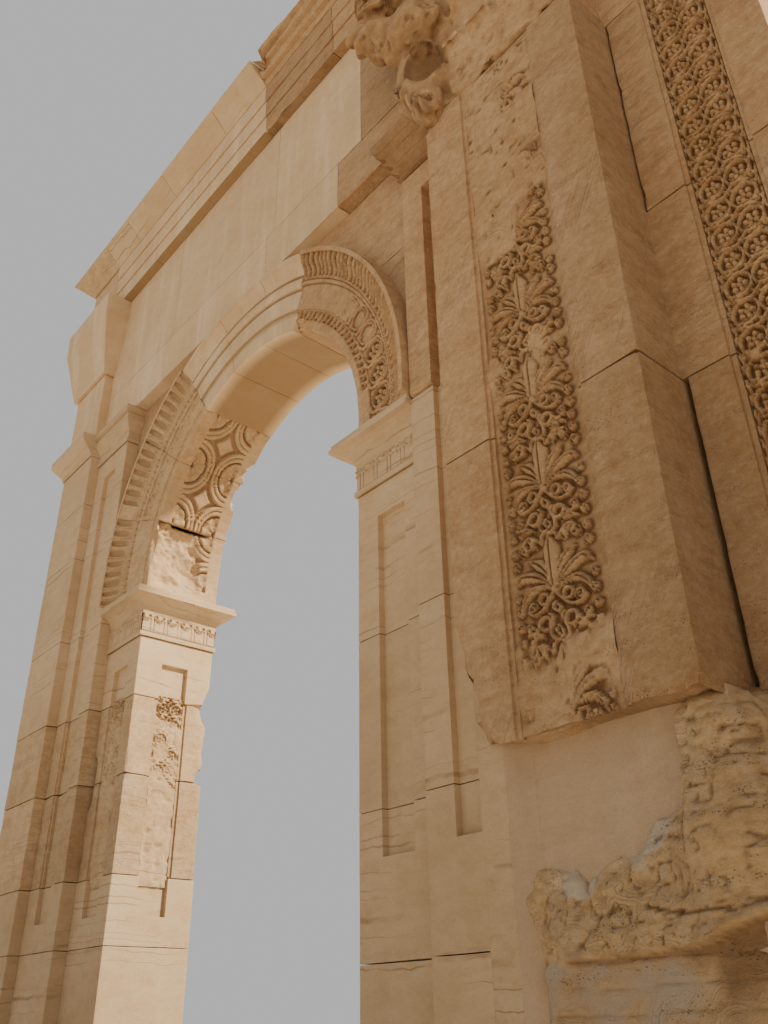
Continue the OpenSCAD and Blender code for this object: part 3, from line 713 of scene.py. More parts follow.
def carved_bands(along, v, worn=0):
    """Depth below the face: a twisted ribbon, a scroll round flowers, beads and long leaves. With worn 1
    the bands end one after another up the arch."""
    def left(start, end):
        return 1 - worn * ramp(along, start, end)

    slant = 0.018 * np.sin((v - 0.50) * 34) - 0.5 * (v - 0.59) * (1 - worn * ramp(along, 0.6, 1.5))
    x = repeat(along + slant + 0.010 * np.sin(along * 19), LONG_LEAF)
    depth = np.where(within(v, 0.505, 0.690), 0.062 * (1 - ridge(x, 0.020)), 0.0)
    bead = ridge(np.hypot(repeat(along, BEAD) / 0.013, (v - 0.484) / 0.013), 1.0) * left(1.9, 2.2)
    depth = np.where(within(v, 0.468, 0.500), 0.020 * (1 - bead), depth)
    u, w = -repeat(along + SCROLL_SHIFT, SCROLL), v - SCROLL_MID
    middle = np.hypot(u, w)
    scroll = highest(ridge(middle - 0.092, 0.012), *[
        stem(u - shift, w, SCROLL_STEM, 4, 0.013) for shift in (-SCROLL, 0, SCROLL)])
    open_field = worn * ramp(along, 0.60, 0.64)
    flower = rosette(u, w, 0, 0, 0.080) * (1 - open_field)
    patchy = ramp(layered(np.stack([along, v, 0 * v], -1), 0.10, 3, 7), 0.1, 0.4)
    kept = left(1.15, 1.60) * (1 - open_field * patchy * ramp(along, 1.0, 1.2))
    field = np.where(middle < 0.086, 0.052 * (1 - flower) * (1 - 0.6 * open_field), 0.022 * (1 - scroll))
    depth = np.where(np.abs(w) < SCROLL_HALF, field * kept + 0.018 * (1 - kept), depth)
    lean = 0.75 * (v - RIBBON_MID)
    ribbon = np.maximum(ridge(repeat(along + lean, RIBBON), 0.020),
                        0.7 * ridge(repeat(along - lean, RIBBON), 0.013))
    ribbon = np.where(worn * (along < 0.25), 1, ribbon * left(2.3, 2.5))
    return np.where(np.abs(v - RIBBON_MID) < RIBBON_HALF, 0.046 * (1 - ribbon), depth)


def worn_bands(along, v):
    return carved_bands(along, v, 1)


def soffit_cells(a, b):
    """Depth from 0 to 1 in a soffit cell, with a and b from -0.5 to 0.5: flat bands round quarter circles
    filled with leaves, and a curved diamond between them."""
    da, db = np.abs(a) - 0.5, np.abs(b) - 0.5
    corner, angle = np.hypot(da, db), np.arctan2(db, da)
    groove = 1 - 0.4 * ridge(corner - 0.415, 0.012)
    ring = ramp(corner, 0.325, 0.345) * (1 - ramp(corner, 0.49, 0.51)) * groove
    lobes = 0.5 + 0.5 * np.cos(angle * 8)
    leafy = (0.45 + 0.45 * lobes * np.abs(np.sin(corner * 17))) * within(corner, 0.05, 0.30)
    return 1 - highest(ring, leafy, 0.9 * ramp(corner, 0.565, 0.585))


def lost_front(p):
    """The rough break in the soffit's front half over the left impost, and the gap at its upper end."""
    turn = np.arctan2(p[..., 2] - SIDE_SPRING - ARCH_STILT, p[..., 0] + X_ARCH) % (2 * math.pi)
    edge = p[..., 1] + 0.06 * layered(p, 0.22, 3, 33)
    share = ramp(-edge, 0.40, 0.50) * ramp(edge, -0.99, -0.93) * ramp(p[..., 2], 5.58, 5.76)
    at_end = 1 - ramp(turn, 2.820, 2.832)
    gap = ramp(p[..., 1], -0.80, -0.76) * (1 - ramp(p[..., 1], -0.40, -0.34)) * at_end
    return share * (0.080 + 0.045 * layered(p, 0.16, 5, 35)) + 0.12 * gap


# A ring's foot stands out no further than its impost, and its edge runs on behind the wall's face
FOOT_H, FOOT_OUT, RING_FLANK = 0.03, 0.14, 0.08
# Below this height the broken soffit is a plain new stone
LOST_FOOT = 5.70


def voussoir(shape, centre, y, r0, w, e0, e1, kind, step, seed, bands, cells, bites=(),
             steps=(0.9, 1.8, 1.8), wear=0.0, lost=None, top=99.0):
    """One stone of an arch. steps makes the grid coarser on the front, the soffit and the back, cells is
    (start, pitch, span across, depth) of the carved soffit, and lost a further depth lost at each point."""
    scale = w / RING_W
    half = [(share * w, out) for share, out in (CARVED_SECTION if bands else RING_SECTION)]
    front = dense([(r0 + d, y[0] - o) for d, o in half], step * steps[0])[::-1]
    under = dense([(r0, y[0]), (r0, y[1])], step * steps[1])[1:-1]
    back = dense([(r0 + d, y[1] + o) for d, o in half], step * steps[2])
    path = np.vstack([[(r0 + w, y[0] + RING_FLANK)], front, under, back, [(r0 + w, y[1] - RING_FLANK)]])
    soffit = np.array([False] * (len(front) + 1) + [True] * len(under) + [False] * (len(back) + 1))[:, None]
    normal = section_normals(path)
    mid = r0 + w / 2
    length = (float(arch_length(e0, mid)) + GAP / 2, float(arch_length(e1, mid)) - GAP / 2)
    s = lines(*length, step)
    e = arch_station(s, mid)[None]
    r, yy = path[:, 0][:, None], path[:, 1][:, None]
    p = arch_point(centre, r, yy, e)
    away = arch_point(centre, r + normal[:, 0][:, None], yy + normal[:, 1][:, None], e) - p
    depth = skin_depth(p, np.minimum(s - length[0], length[1] - s)[None] + 0 * r, kind, seed)
    cut = np.zeros(p.shape[:2])
    share = (r - r0) / w
    if bands:
        cut = np.where(~soffit, bands((s / scale)[None] + 0 * r, (r - r0) / scale + 0 * e) * scale, 0)
    if cells:
        start, pitch, (y0, y1), deep = cells
        a = ((s[None] * r0 / mid - start) / pitch) % 1.0 - 0.5 + 0 * r
        b = (yy - (y0 + y1) / 2) / (y1 - y0) + 0 * e
        cut = np.where((np.abs(b) < 0.5) & soffit, deep * soffit_cells(a, b), cut)
    gone = ramp(layered(p, 0.26, 3, seed + 20) + wear, 0.35, 0.85) if kind is not NEW else 0
    cut = cut * (1 - 0.8 * gone) + 0.014 * gone
    # painted shade: in the carved bands' recesses, all over the soffit, and in the plain ring's grooves
    if bands:
        hollow = np.clip(recess_shade(-cut, 2) + np.clip(cut / 0.030 / scale - 0.5, 0, 0.6), 0, 1)
        hollow = np.where(soffit, 0.35 * hollow + 0.35, hollow * (0.6 if bands is tongue_bands else 1.0))
    else:
        groove = sum((share > low) & (share < high) for low, high in RING_GROOVES)
        hollow = np.where(soffit, 1.0, 0.7 * groove + 0 * e)
    if lost:
        missing = lost(p) * soffit
        foot = soffit * (1 - ramp(p[..., 2], LOST_FOOT, LOST_FOOT + 0.03))
        depth, cut = depth + missing, cut * (1 - ramp(missing, 0.01, 0.06)) * (1 - foot)
        # painted shadow in the deep gap at the broken soffit's upper end
        hollow = (hollow * (missing < 0.03) + (missing > 0.18)) * (1 - foot)
    p = p - away * (depth + cut + bite_depth(p, -away, bites))[..., None]
    p[..., 2] = np.minimum(p[..., 2], top)
    on_impost = p[..., 2] < centre[1] - ARCH_STILT + FOOT_H
    p[..., 1] = np.where(on_impost, np.clip(p[..., 1], y[0] - FOOT_OUT, y[1] + FOOT_OUT), p[..., 1])
    p = np.concatenate([p[:, :1] - away[:, :1] * RIM_DEPTH, p, p[:, -1:] - away[:, -1:] * RIM_DEPTH], 1)
    shape.add(p, random_tone(seed), np.pad(hollow + 0 * share, ((0, 0), (1, 1)), mode="edge"))


# Materials
def add(tree, kind, inputs=None, **settings):
    """A shader node with its settings and linked or fixed inputs."""
    node = tree.nodes.new(kind)
    for key, value in settings.items():
        setattr(node, key, value)
    for key, value in (inputs or {}).items():
        if isinstance(value, bpy.types.NodeSocket):
            tree.links.new(value, node.inputs[key])
        else:
            node.inputs[key].default_value = value
    return node


def math_node(tree, operation, a, b=0.0):
    return add(tree, "ShaderNodeMath", {0: a, 1: b}, operation=operation).outputs[0]


def scaled(tree, place, scale):
    return add(tree, "ShaderNodeMapping", {"Vector": place, "Scale": scale}).outputs[0]


def noise_node(tree, place, scale, detail, roughness=0.6):
    inputs = {"Vector": place, "Scale": scale, "Detail": detail, "Roughness": roughness}
    return add(tree, "ShaderNodeTexNoise", inputs).outputs[0]


def band(tree, value, low, high, bottom=0.0, top=1.0):
    """bottom below low, top above high."""
    inputs = {"Value": value, "From Min": low, "From Max": high, "To Min": bottom, "To Max": top}
    return add(tree, "ShaderNodeMapRange", inputs).outputs[0]


def blend(tree, share, a, b, mode="MIX"):
    inputs = {0: share, 6: a, 7: b}
    return add(tree, "ShaderNodeMix", inputs, data_type="RGBA", blend_type=mode).outputs[2]


def dimmed(tree, body, value):
    """A colour times a number."""
    grey = add(tree, "ShaderNodeCombineColor", dict.fromkeys(range(3), value)).outputs[0]
    return blend(tree, 1.0, body, grey, "MULTIPLY")


def hairlines(tree, place, tone, spread, mask):
    """Thin wavy lines along the beds of the stone, broken here and there; 1 on a line."""
    height = add(tree, "ShaderNodeSeparateXYZ", {0: place}).outputs[2]
    for scale, swing in HAIRLINE_WAVES:
        wave = noise_node(tree, scaled(tree, place, (1, 1, 0.5)), scale, 3.0)
        height = math_node(tree, "ADD", height, math_node(tree, "MULTIPLY", wave, swing))
    height = math_node(tree, "ADD", height, math_node(tree, "MULTIPLY", tone, HAIRLINE_SHIFT))
    rows = add(tree, "ShaderNodeTexNoise", {"W": height, "Scale": spread, "Detail": 2.0},
               noise_dimensions="1D")
    level = math_node(tree, "FRACT", math_node(tree, "MULTIPLY", rows.outputs[0], 6.0))
    off = math_node(tree, "ABSOLUTE", math_node(tree, "SUBTRACT", level, 0.5))
    return math_node(tree, "MULTIPLY", band(tree, off, 0.01, 0.06, 1.0, 0.0), mask)


# Swings of the hairlines as (scale, height), and how far they shift from stone to stone
HAIRLINE_WAVES, HAIRLINE_SHIFT = ((1.7, 0.16), (14.0, 0.016)), 3.7
# Noises of the stone as (stretch, scale, detail, roughness): drifts of colour, clouds, beds, stains,
# patches, dashes
STONE_NOISES = (((1, 1, 1.5), 0.85, 5.0, 0.62), ((1, 1, 1.8), 5.5, 6.0, 0.70),
                ((1, 1, 4.5), 2.6, 5.0, 0.66), ((4, 4, 0.45), 1.0, 4.0, 0.6),
                ((1, 1, 1.5), 18.0, 6.0, 0.78), ((9, 9, 32), 1.0, 3.0, 0.7))
GRAIN_SCALE, PIT_SCALE = 130.0, 55.0
# Painted shade near the ground: the stone is darkened towards the ground between two heights in metres, and
# the share of light left at the lower one
GROUND_SHADE_Z, GROUND_SHADE_LEFT = (0.5, 5.0), 0.62


def stone_material(name, light, mid, dark, crack, pale, shares, bump):
    """Layered limestone, with dirt and painted shade in the hollows and painted shade near the ground.
    shares says how much there is of each effect."""
    material = bpy.data.materials.new(name)
    material.use_nodes = True
    tree = material.node_tree
    shader = tree.nodes["Principled BSDF"]
    place = add(tree, "ShaderNodeTexCoord").outputs["Object"]
    tone, hollow = [add(tree, "ShaderNodeAttribute", attribute_name=label).outputs["Fac"]
                    for label in ("tone", "hollow")]
    drift, cloud, beds, stain, patch, dash = [
        noise_node(tree, scaled(tree, place, stretch), *texture) for stretch, *texture in STONE_NOISES]
    grain = noise_node(tree, place, GRAIN_SCALE, 3.0, 0.8)
    body = blend(tree, band(tree, drift, 0.38, 0.64), mid, light)
    for texture, low, high, share, colour in (
            (cloud, 0.47, 0.70, "cloud", dark), (beds, 0.46, 0.68, "beds", dark),
            (stain, 0.48, 0.68, "stains", pale),
            (patch, 0.50, 0.70, "specks", pale), (patch, 0.50, 0.32, "specks", dark)):
        body = blend(tree, band(tree, texture, low, high, 0.0, shares[share]), body, colour)
    dashes = math_node(tree, "MULTIPLY", band(tree, dash, 0.57, 0.66, 0.0, shares["dashes"]),
                       band(tree, beds, 0.52, 0.60))
    body = blend(tree, dashes, body, pale)
    line = hairlines(tree, place, tone, shares["spread"], band(tree, drift, 0.49, 0.58))
    body = blend(tree, math_node(tree, "MULTIPLY", line, shares["lines"]), body, crack)
    body = dimmed(tree, body, band(tree, tone, 0.0, 1.0, 1 - shares["tones"], 1 + shares["tones"]))
    body = blend(tree, band(tree, tone, 0.80, 1.0, 0.0, shares["bleach"]), body, pale)
    level = add(tree, "ShaderNodeSeparateXYZ", {0: place}).outputs[2]
    # painted shade: the colour darkens towards the ground
    body = dimmed(tree, body, band(tree, level, *GROUND_SHADE_Z, GROUND_SHADE_LEFT, 1.0))
    cells = add(tree, "ShaderNodeTexVoronoi", {"Vector": scaled(tree, place, (1, 1, 1.5)),
                                               "Scale": PIT_SCALE})
    pit = math_node(tree, "MULTIPLY", band(tree, cells.outputs[0], 0.10, 0.34, 1.0, 0.0),
                    band(tree, beds, 0.50, 0.60))
    body = blend(tree, math_node(tree, "MULTIPLY", pit, shares["pits"]), body, crack)
    # painted shade and dirt: the hollow attribute blends the colour towards the crack colour
    body = blend(tree, band(tree, hollow, 0.10, 1.0, 0.0, shares["dirt_and_shade"]), body, crack)
    body = dimmed(tree, body, band(tree, grain, 0.25, 0.75, 0.86, 1.14))
    tree.links.new(body, shader.inputs["Base Color"])
    tree.links.new(band(tree, cloud, 0.0, 1.0, 0.80, 0.97), shader.inputs["Roughness"])
    shader.inputs["Specular IOR Level"].default_value = 0.22
    height = math_node(tree, "MULTIPLY", cloud, 0.8)
    for part, amount in ((beds, shares["beds"] * 1.3), (patch, 0.50), (grain, 0.12), (line, -0.25),
                         (pit, -0.40)):
        height = math_node(tree, "ADD", height, math_node(tree, "MULTIPLY", part, amount))
    bumps = add(tree, "ShaderNodeBump", {"Height": height, "Distance": bump, "Strength": 1.0})
    tree.links.new(bumps.outputs[0], shader.inputs["Normal"])
    return material


def shaded(share, *colours):
    """Colours made darker by a share."""
    return [(*(share * c for c in colour), 1.0) for colour in colours]


# Colours of each stone: light, middle, dark, its cracks, which also colour the painted shade in the hollows,
# and its pale patches
GOLDEN = shaded(0.86, (0.61, 0.390, 0.200), (0.52, 0.310, 0.145), (0.38, 0.200, 0.082),
                (0.17, 0.078, 0.030), (0.78, 0.570, 0.340))
TAN = shaded(0.95, (0.53, 0.338, 0.175), (0.455, 0.270, 0.126), (0.335, 0.175, 0.073), (0.18, 0.085, 0.032),
             (0.68, 0.500, 0.320))
PALE = shaded(0.93, (0.66, 0.460, 0.260), (0.58, 0.375, 0.190), (0.45, 0.265, 0.115), (0.21, 0.100, 0.040),
              (0.78, 0.600, 0.380))
CREAM_LOOK = ((0.70, 0.500, 0.295), (0.63, 0.430, 0.235), (0.53, 0.335, 0.160), (0.24, 0.130, 0.048),
              (0.80, 0.640, 0.430))
CREAM, SHADED_CREAM = shaded(1.0, *CREAM_LOOK), shaded(0.90, *CREAM_LOOK)
BROWN = shaded(0.92, (0.60, 0.420, 0.255), (0.54, 0.365, 0.212), (0.43, 0.270, 0.138), (0.30, 0.165, 0.076),
               (0.68, 0.530, 0.360))
ROCK = shaded(1.0, (0.68, 0.460, 0.230), (0.58, 0.365, 0.165), (0.38, 0.235, 0.112), (0.15, 0.076, 0.033),
              (0.56, 0.470, 0.350))
WEATHERED = dict(cloud=0.65, beds=0.30, specks=0.40, dashes=0.25, spread=4.0, lines=0.30, pits=0.50,
                 dirt_and_shade=0.45, tones=0.15, stains=0.15, bleach=0.0)
SMOOTH = dict(cloud=0.35, beds=0.08, specks=0.08, dashes=0.05, spread=2.3, lines=0.12, pits=0.05, dirt_and_shade=0.78,
              tones=0.04, stains=0.45, bleach=0.0)
CARVED = dict(WEATHERED, beds=0.15, lines=0.1)
MATERIALS = {name: stone_material(name, *colours, shares, bump) for name, colours, shares, bump in (
    ("old_stone", TAN, WEATHERED, 0.010),
    ("pale_old_stone", PALE, dict(WEATHERED, lines=0.4), 0.009),
    ("restored_stone", SHADED_CREAM, dict(SMOOTH, cloud=0.50, beds=0.25, lines=0.55, pits=0.10,
                                          stains=0.10), 0.004),
    ("smooth_stone", CREAM, SMOOTH, 0.003),
    ("plaster", BROWN, dict(SMOOTH, stains=0.35, lines=0.0, pits=0.0, tones=0.0), 0.003),
    ("carved_stone", GOLDEN, dict(CARVED, dirt_and_shade=0.90), 0.007),
    ("pale_carved_stone", PALE, dict(CARVED, dirt_and_shade=0.80), 0.006),
    ("eroded_stone", ROCK, dict(WEATHERED, cloud=0.75, specks=0.50, pits=0.40, dirt_and_shade=0.75, tones=0.10,
                                bleach=0.90), 0.016),
)}


# Moulding profiles, as (standing out, height) from the bottom up
IMPOST = [(0, 0), (NECK_PROUD, 0), (NECK_PROUD, NECK_H), (0, NECK_H + FILLET), (0, IMPOST_FRIEZE_TOP),
          (FILLET, IMPOST_FRIEZE_TOP + FILLET)]
IMPOST += [(FILLET + (IMPOST_PROUD - 2 * FILLET) * (1 - math.cos(t)),
            IMPOST_FRIEZE_TOP + FILLET + (IMPOST_SPLAY_TOP - IMPOST_FRIEZE_TOP - FILLET) * math.sin(t))
           for t in np.radians(range(15, 76, 15))]
IMPOST += [(IMPOST_PROUD, IMPOST_SPLAY_TOP), (IMPOST_PROUD, 0.438), (IMPOST_PROUD - 0.012, 0.442),
           (IMPOST_PROUD - 0.012, IMPOST_H)]
SMALL_FASCIA_PROUD = SMALL_PROUD - NECK_PROUD - FILLET
SMALL_TOP_Z = SMALL_FASCIA_Z + SMALL_FASCIA_H
SMALL_CAPITAL = [(0, 0), (NECK_PROUD, 0), (NECK_PROUD, NECK_H), (0, NECK_H + FILLET), (0, SMALL_NECK_H),
                 (SMALL_FASCIA_PROUD, SMALL_FASCIA_Z), (SMALL_FASCIA_PROUD, SMALL_TOP_Z),
                 (SMALL_PROUD, SMALL_TOP_Z + FILLET), (SMALL_PROUD, SMALL_CAPITAL_H)]
OLD_SMALL = [(0, 0), (0.040, 0.012), (0.012, 0.05), (0.016, 0.09), (0.085, 0.125), (0.055, 0.16),
             (0.060, 0.195), (0.130, 0.225), (0.098, 0.26), (0.105, 0.295), (0.172, 0.325), (0.150, 0.355),
             (0.195, 0.385), (0.195, SMALL_CAPITAL_H)]
CORNER_CAPITAL = [(0, 0), (NECK_PROUD, 0), (NECK_PROUD, NECK_H), (CORNER_PROUD, CORNER_ABACUS_Z),
                  (CORNER_PROUD, CORNER_CAPITAL_H)]
BOSS = [(0, 0), (2 * NECK_PROUD, 0), (BOSS_PROUD, BOSS_ABACUS_Z), (BOSS_PROUD + FILLET, BOSS_H)]
FASCIAE = [(i * FASCIA_STEP, FASCIAE_H * (i + end) / 3) for i in range(3) for end in (0, 1)]
CROWN = [(2 * FASCIA_STEP, 0), (2 * FASCIA_STEP + CROWN_PROUD, CROWN_H)]
OLD_CROWN = [(2 * FASCIA_STEP, 0), (0.055, 0.030), (0.062, 0.072), (0.108, 0.078), (0.140, 0.140),
             (0.190, 0.148), (0.215, 0.205), (0.262, 0.212), (0.282, CROWN_H)]
# The plain block at the end of the left entablature
END_BAND, END_JOINT = [(FASCIA_STEP, 0), (FASCIA_STEP, FASCIAE_H)], 12.25


class Work:
    """The stones of one sub-part, gathered by finish."""

    def __init__(self, name):
        self.name, self.shapes = name, {}

    def shape(self, slot):
        return self.shapes.setdefault(slot, Shape())

    def build(self):
        for slot, shape in self.shapes.items():
            shape.build(f"{self.name}_{slot}", slot, [self.name])


OLD_FINISH, NEW_FINISH, PALE_FINISH = (OLD, "old_stone"), (NEW, "restored_stone"), (OLD, "pale_old_stone")
SMOOTH_FINISH, END_FINISH = (NEW, "smooth_stone"), (NEW, "pale_old_stone")


def courses(z, joints):
    """Spans between joints, with a gap."""
    heights = [z[0]] + [j for j in joints if z[0] + 0.2 < j < z[1] - 0.15] + [z[1]]
    return [(a + GAP / 2 * (i > 0), b - GAP / 2) for i, (a, b) in enumerate(zip(heights[:-1], heights[1:]))]


def pillar(name, joints, panels, step, finishes, sides=(1, 1, 1, 1), bites=(), box=None, reach=(), foot=0.0,
           **look):
    """An unbuilt pilaster, one stone to a course. finishes gives each course's kind and slot, reach how
    far it runs into its neighbour on the left, and foot how round the lowest edge is worn."""
    x, y, z = box or spans(name)
    work = Work(name)
    for i, span in enumerate(courses(z, joints)):
        kind, slot = finishes[min(i, len(finishes) - 1)]
        seed = name_seed(name) + 7 * i
        inset = COURSE_SHIFT * (0.2 + 0.8 * random_tone(seed + 3)) * (kind is not NEW)
        left = x[0] + inset - (reach[i] if reach else 0)
        stone(work.shape(slot), (left, x[1] - inset), (y[0] + inset, y[1] - inset), span, kind, step,
              sides=sides, panels=panels, bites=bites, seed=seed, foot=foot * (i == 0), **look)
    return work


# How far old stones stand back, at most, in a pillar and in a row
COURSE_SHIFT, ROW_SHIFT = 0.004, 0.005


def face_panels(x, z, width):
    """Panels on the front and the back."""
    return [(side, (*centred(x, width), *z)) for side in (FRONT, BACK)]


def row(name, x, y, z0, profile, joints, finish, step, ends=(0, 0), work=None, bites=(), coarse_back=2):
    """A row of moulded stones along X. ends says which carry the profile; finish gives a stone's kind by
    its place. With work given it is added to it, or else built."""
    target = work or Work(name)
    xs = [x[0]] + sorted(j for j in joints if x[0] + 0.1 < j < x[1] - 0.1) + [x[1]]
    for i, (a, b) in enumerate(zip(xs[:-1], xs[1:])):
        kind, slot = finish((a + b) / 2)
        seed = name_seed(name) + 13 * i
        shape_of = profile if kind is NEW or profile is not CROWN else OLD_CROWN
        shape_of = END_BAND if profile is FASCIAE and slot == END_FINISH[1] else shape_of
        shift = ROW_SHIFT * random_tone(seed + 1) * (kind is not NEW)
        flags = (1, ends[1] * (i == len(xs) - 2), 1, ends[0] * (i == 0))
        side_steps = (1, 1 if flags[PLUS_X] else 3, coarse_back, 1 if flags[MINUS_X] else 3)
        stone(target.shape(slot), (a + GAP / 2 * (i > 0), b - GAP / 2 * (b < xs[-1])),
              (y[0] + shift, y[1] - shift), (z0, z0 + shape_of[-1][1]), kind, step, shape_of, flags,
              side_steps, bites=bites, seed=seed)
    if work is None:
        target.build()


def everywhere(finish):
    return lambda x: finish


def facing(side):
    """The faces of a half that look towards the arch's middle and away from it."""
    return (PLUS_X, MINUS_X) if side < 0 else (MINUS_X, PLUS_X)


def end_flags(*faces):
    """Which ends of a row carry its profile."""
    return int(MINUS_X in faces), int(PLUS_X in faces)


# Pieces of a side bay. side is -1 on the left, the half in the photograph, and 1 on the right
LEFT_NEW_JOINT = -8.49


def bay_finish(side, new=SMOOTH_FINISH):
    """Restored stone beyond the joint on the left half but for its end block, old stone elsewhere."""
    return lambda x: OLD_FINISH if side > 0 or x > LEFT_NEW_JOINT else END_FINISH if x < -END_JOINT else new


def pier_finishes(side):
    return [NEW_FINISH] * 2 + [PALE_FINISH] * 2 + [NEW_FINISH] if side < 0 else [NEW_FINISH, OLD_FINISH]


# Bites, as (centre, radii)
OUTER_PIER_BITES = [((-10.62, -0.14, 4.42), (0.10, 0.12, 0.16)),
                    ((-10.62, -0.12, 4.05), (0.07, 0.08, 0.20)),
                    ((-10.62, -0.12, 3.76), (0.12, 0.15, 0.10)),
                    ((-10.62, -0.10, 3.30), (0.05, 0.06, 0.12)),
                    ((-10.62, -0.10, 2.95), (0.05, 0.06, 0.10)),
                    ((-10.62, -0.99, 3.76), (0.05, 0.05, 0.22)),
                    ((-11.37, -0.99, 3.72), (0.06, 0.05, 0.30))]
INNER_FRAME_BITES = [((-6.00, -1.12, 4.30), (0.05, 0.05, 0.10)), ((-6.01, -1.12, 4.62), (0.07, 0.06, 0.14))]
# Old stone of the left inner frame: where it begins, how far it stands before the restored stone, its panel
OLD_FRAME_Z, OLD_LEDGE, PANEL_X = 5.5, 0.022, 6.175
# Coarser grids of a frame pilaster's sides and back
FRAME_SIDES = (1, 2, 2, 2)


def side_pillars(side, label, step):
    """Jambs, frame pilasters and corner pilaster of a side bay."""
    inner, outer = facing(side)
    for part, passage, joints, finishes in (
            ("outer_jamb", inner, PIER_JOINTS, pier_finishes(side)),
            ("inner_jamb", outer, NEW_PIER_JOINTS, [NEW_FINISH] if side < 0 else [OLD_FINISH])):
        x, y, z = spans(f"{label}_{part}")
        zs = (PANEL_Z, z[1] - PANEL_TOP)
        panels = face_panels(x, zs, SIDE_PANEL_W) + [(passage, (*centred(y, SIDE_PANEL_W), *zs))]
        sides = [1, 1, 2, 1]
        sides[(passage + 2) % 4] = 0
        bites = OUTER_PIER_BITES if side < 0 else ()
        pillar(f"{label}_{part}", joints, panels, step, finishes, sides, bites).build()
    x, _, z = spans(f"{label}_outer_frame")
    panels = face_panels(x, (PANEL_Z, z[1] - PANEL_TOP), SIDE_PANEL_W)
    joints = PIER_JOINTS + UPPER_FRAME_JOINTS
    pillar(f"{label}_outer_frame", joints, panels, step, pier_finishes(side), FRAME_SIDES).build()
    inner_frame(side, f"{label}_inner_frame", step)
    pillar(f"{label}_corner_pilaster", joints, [], step, pier_finishes(side), FRAME_SIDES).build()


def inner_frame(side, name, step):
    """Frame pilaster beside the giant pilaster; the left one is restored below and old above."""
    x, y, z = spans(name)
    panel_x = X_INNER_JAMB - SIDE_PANEL_W / 2 - PANEL_STEP_W if side > 0 else PANEL_X
    across = on_side((X_INNER_FRAME - 0.1, panel_x), side)
    panels = [(face, (*across, PANEL_Z, z[1] - PANEL_TOP)) for face in (FRONT, BACK)]
    if side > 0:
        joints = NEW_PIER_JOINTS + INNER_FRAME_JOINTS
        pillar(name, joints, panels, step, [OLD_FINISH], FRAME_SIDES).build()
        return
    pillar(name, NEW_PIER_JOINTS, panels, step, [NEW_FINISH], FRAME_SIDES, INNER_FRAME_BITES,
           box=(x, (y[0] + OLD_LEDGE, y[1]), (z[0], OLD_FRAME_Z))).build()
    pillar(name, (), panels, step, [OLD_FINISH], FRAME_SIDES, box=(x, y, (OLD_FRAME_Z, z[1])),
           deep=DEEP_PANEL, foot=0.02).build()


# How far the eggs stand out, and their grid's lift off the frieze
EGG_H, EGG_LIFT = 0.026, 0.003


def impost(work, carving, name, x, y, top, passage, finish, step, eggs, rough):
    """One impost, with a frieze of eggs on its front, its back and its passage face. eggs gives the grid
    steps of the carving, with that of the back last."""
    row(name, x, y, top - IMPOST_H, IMPOST, (), everywhere(finish), step, end_flags(passage), work,
        coarse_back=1)
    base = top - IMPOST_H + NECK_H + FILLET
    frieze = (base, top - IMPOST_H + IMPOST_FRIEZE_TOP + FILLET)
    for face, across, level in ((FRONT, x, y[0]), (BACK, x, y[1]), (passage, y, x[passage == PLUS_X])):
        relief("", face, across, level + EGG_LIFT * SIDE_OUT[face].sum(), frieze, EGG_H, hanging_eggs,
               eggs[face == BACK], base, rough, shape=carving)


def side_capitals(side, label, step):
    """Imposts, small capitals, corner capital, boss capital and the stone between them."""
    inner, outer = facing(side)
    left = side < 0
    finish, top_finish = (NEW_FINISH, SMOOTH_FINISH) if left else (OLD_FINISH, OLD_FINISH)
    imposts, smalls, carving = Work(f"{label}_side_imposts"), Work(f"{label}_small_capitals"), Shape()
    for x, passage in (((X_INNER_JAMB, X_PASSAGE), outer), ((X_OUTER_JAMB, X_OUTER_FRAME), inner)):
        impost(imposts, carving, f"{label}_impost_{passage}", on_side(x, side), JAMB_Y, SIDE_SPRING,
               passage, finish, step * 0.7, (0.0095 if left else 0.024, 0.024), 0.0005)
    carving.build(f"{label}_impost_eggs", "restored_stone" if left else "carved_stone")
    imposts.build()
    z0 = spans(f"{label}_small_capitals")[2][0]
    for x, face, old in (
            ((X_INNER_FRAME, X_INNER_JAMB), outer, True), ((X_OUTER_FRAME, X_CORNER), inner, False)):
        profile, kind = OLD_SMALL, (CHIPPED, "carved_stone")
        if left and not old:
            profile, kind = SMALL_CAPITAL, NEW_FINISH
        row(f"{label}_small_{old}", on_side(x, side), FRAME_Y, z0, profile, (), everywhere(kind),
            step * 0.6, end_flags(face), smalls)
    smalls.build()
    x = on_side((X_CORNER, X_END), side)
    z0 = spans(f"{label}_corner_capital")[2][0]
    row(f"{label}_corner_capital", x, CORNER_Y, z0, CORNER_CAPITAL, (), everywhere(finish), step * 0.7,
        end_flags(outer))
    z0, z1 = spans(f"{label}_upper_corner")[2]
    upper = Work(f"{label}_upper_corner")
    stone(upper.shape(top_finish[1]), x, CORNER_Y, (z0, z1 - GAP / 2), finish[0], step,
          seed=name_seed(label) + 4)
    upper.build()
    row(f"{label}_boss_capital", x, CORNER_Y, z1, BOSS, (), everywhere(top_finish), step,
        end_flags(inner, outer))


# Joints of the upper wall, the one between its courses, and where its new stone begins on the left
UPPER_JOINTS, UPPER_JOINT_Z, UPPER_NEW_X = ((7.28, 8.49, 9.90, 11.20), (6.93, 8.35, 10.5)), 8.78, -7.3
UPPER_WALL_BITES = [((-7.0, -1.13, 8.19), (0.35, 0.05, 0.05))]


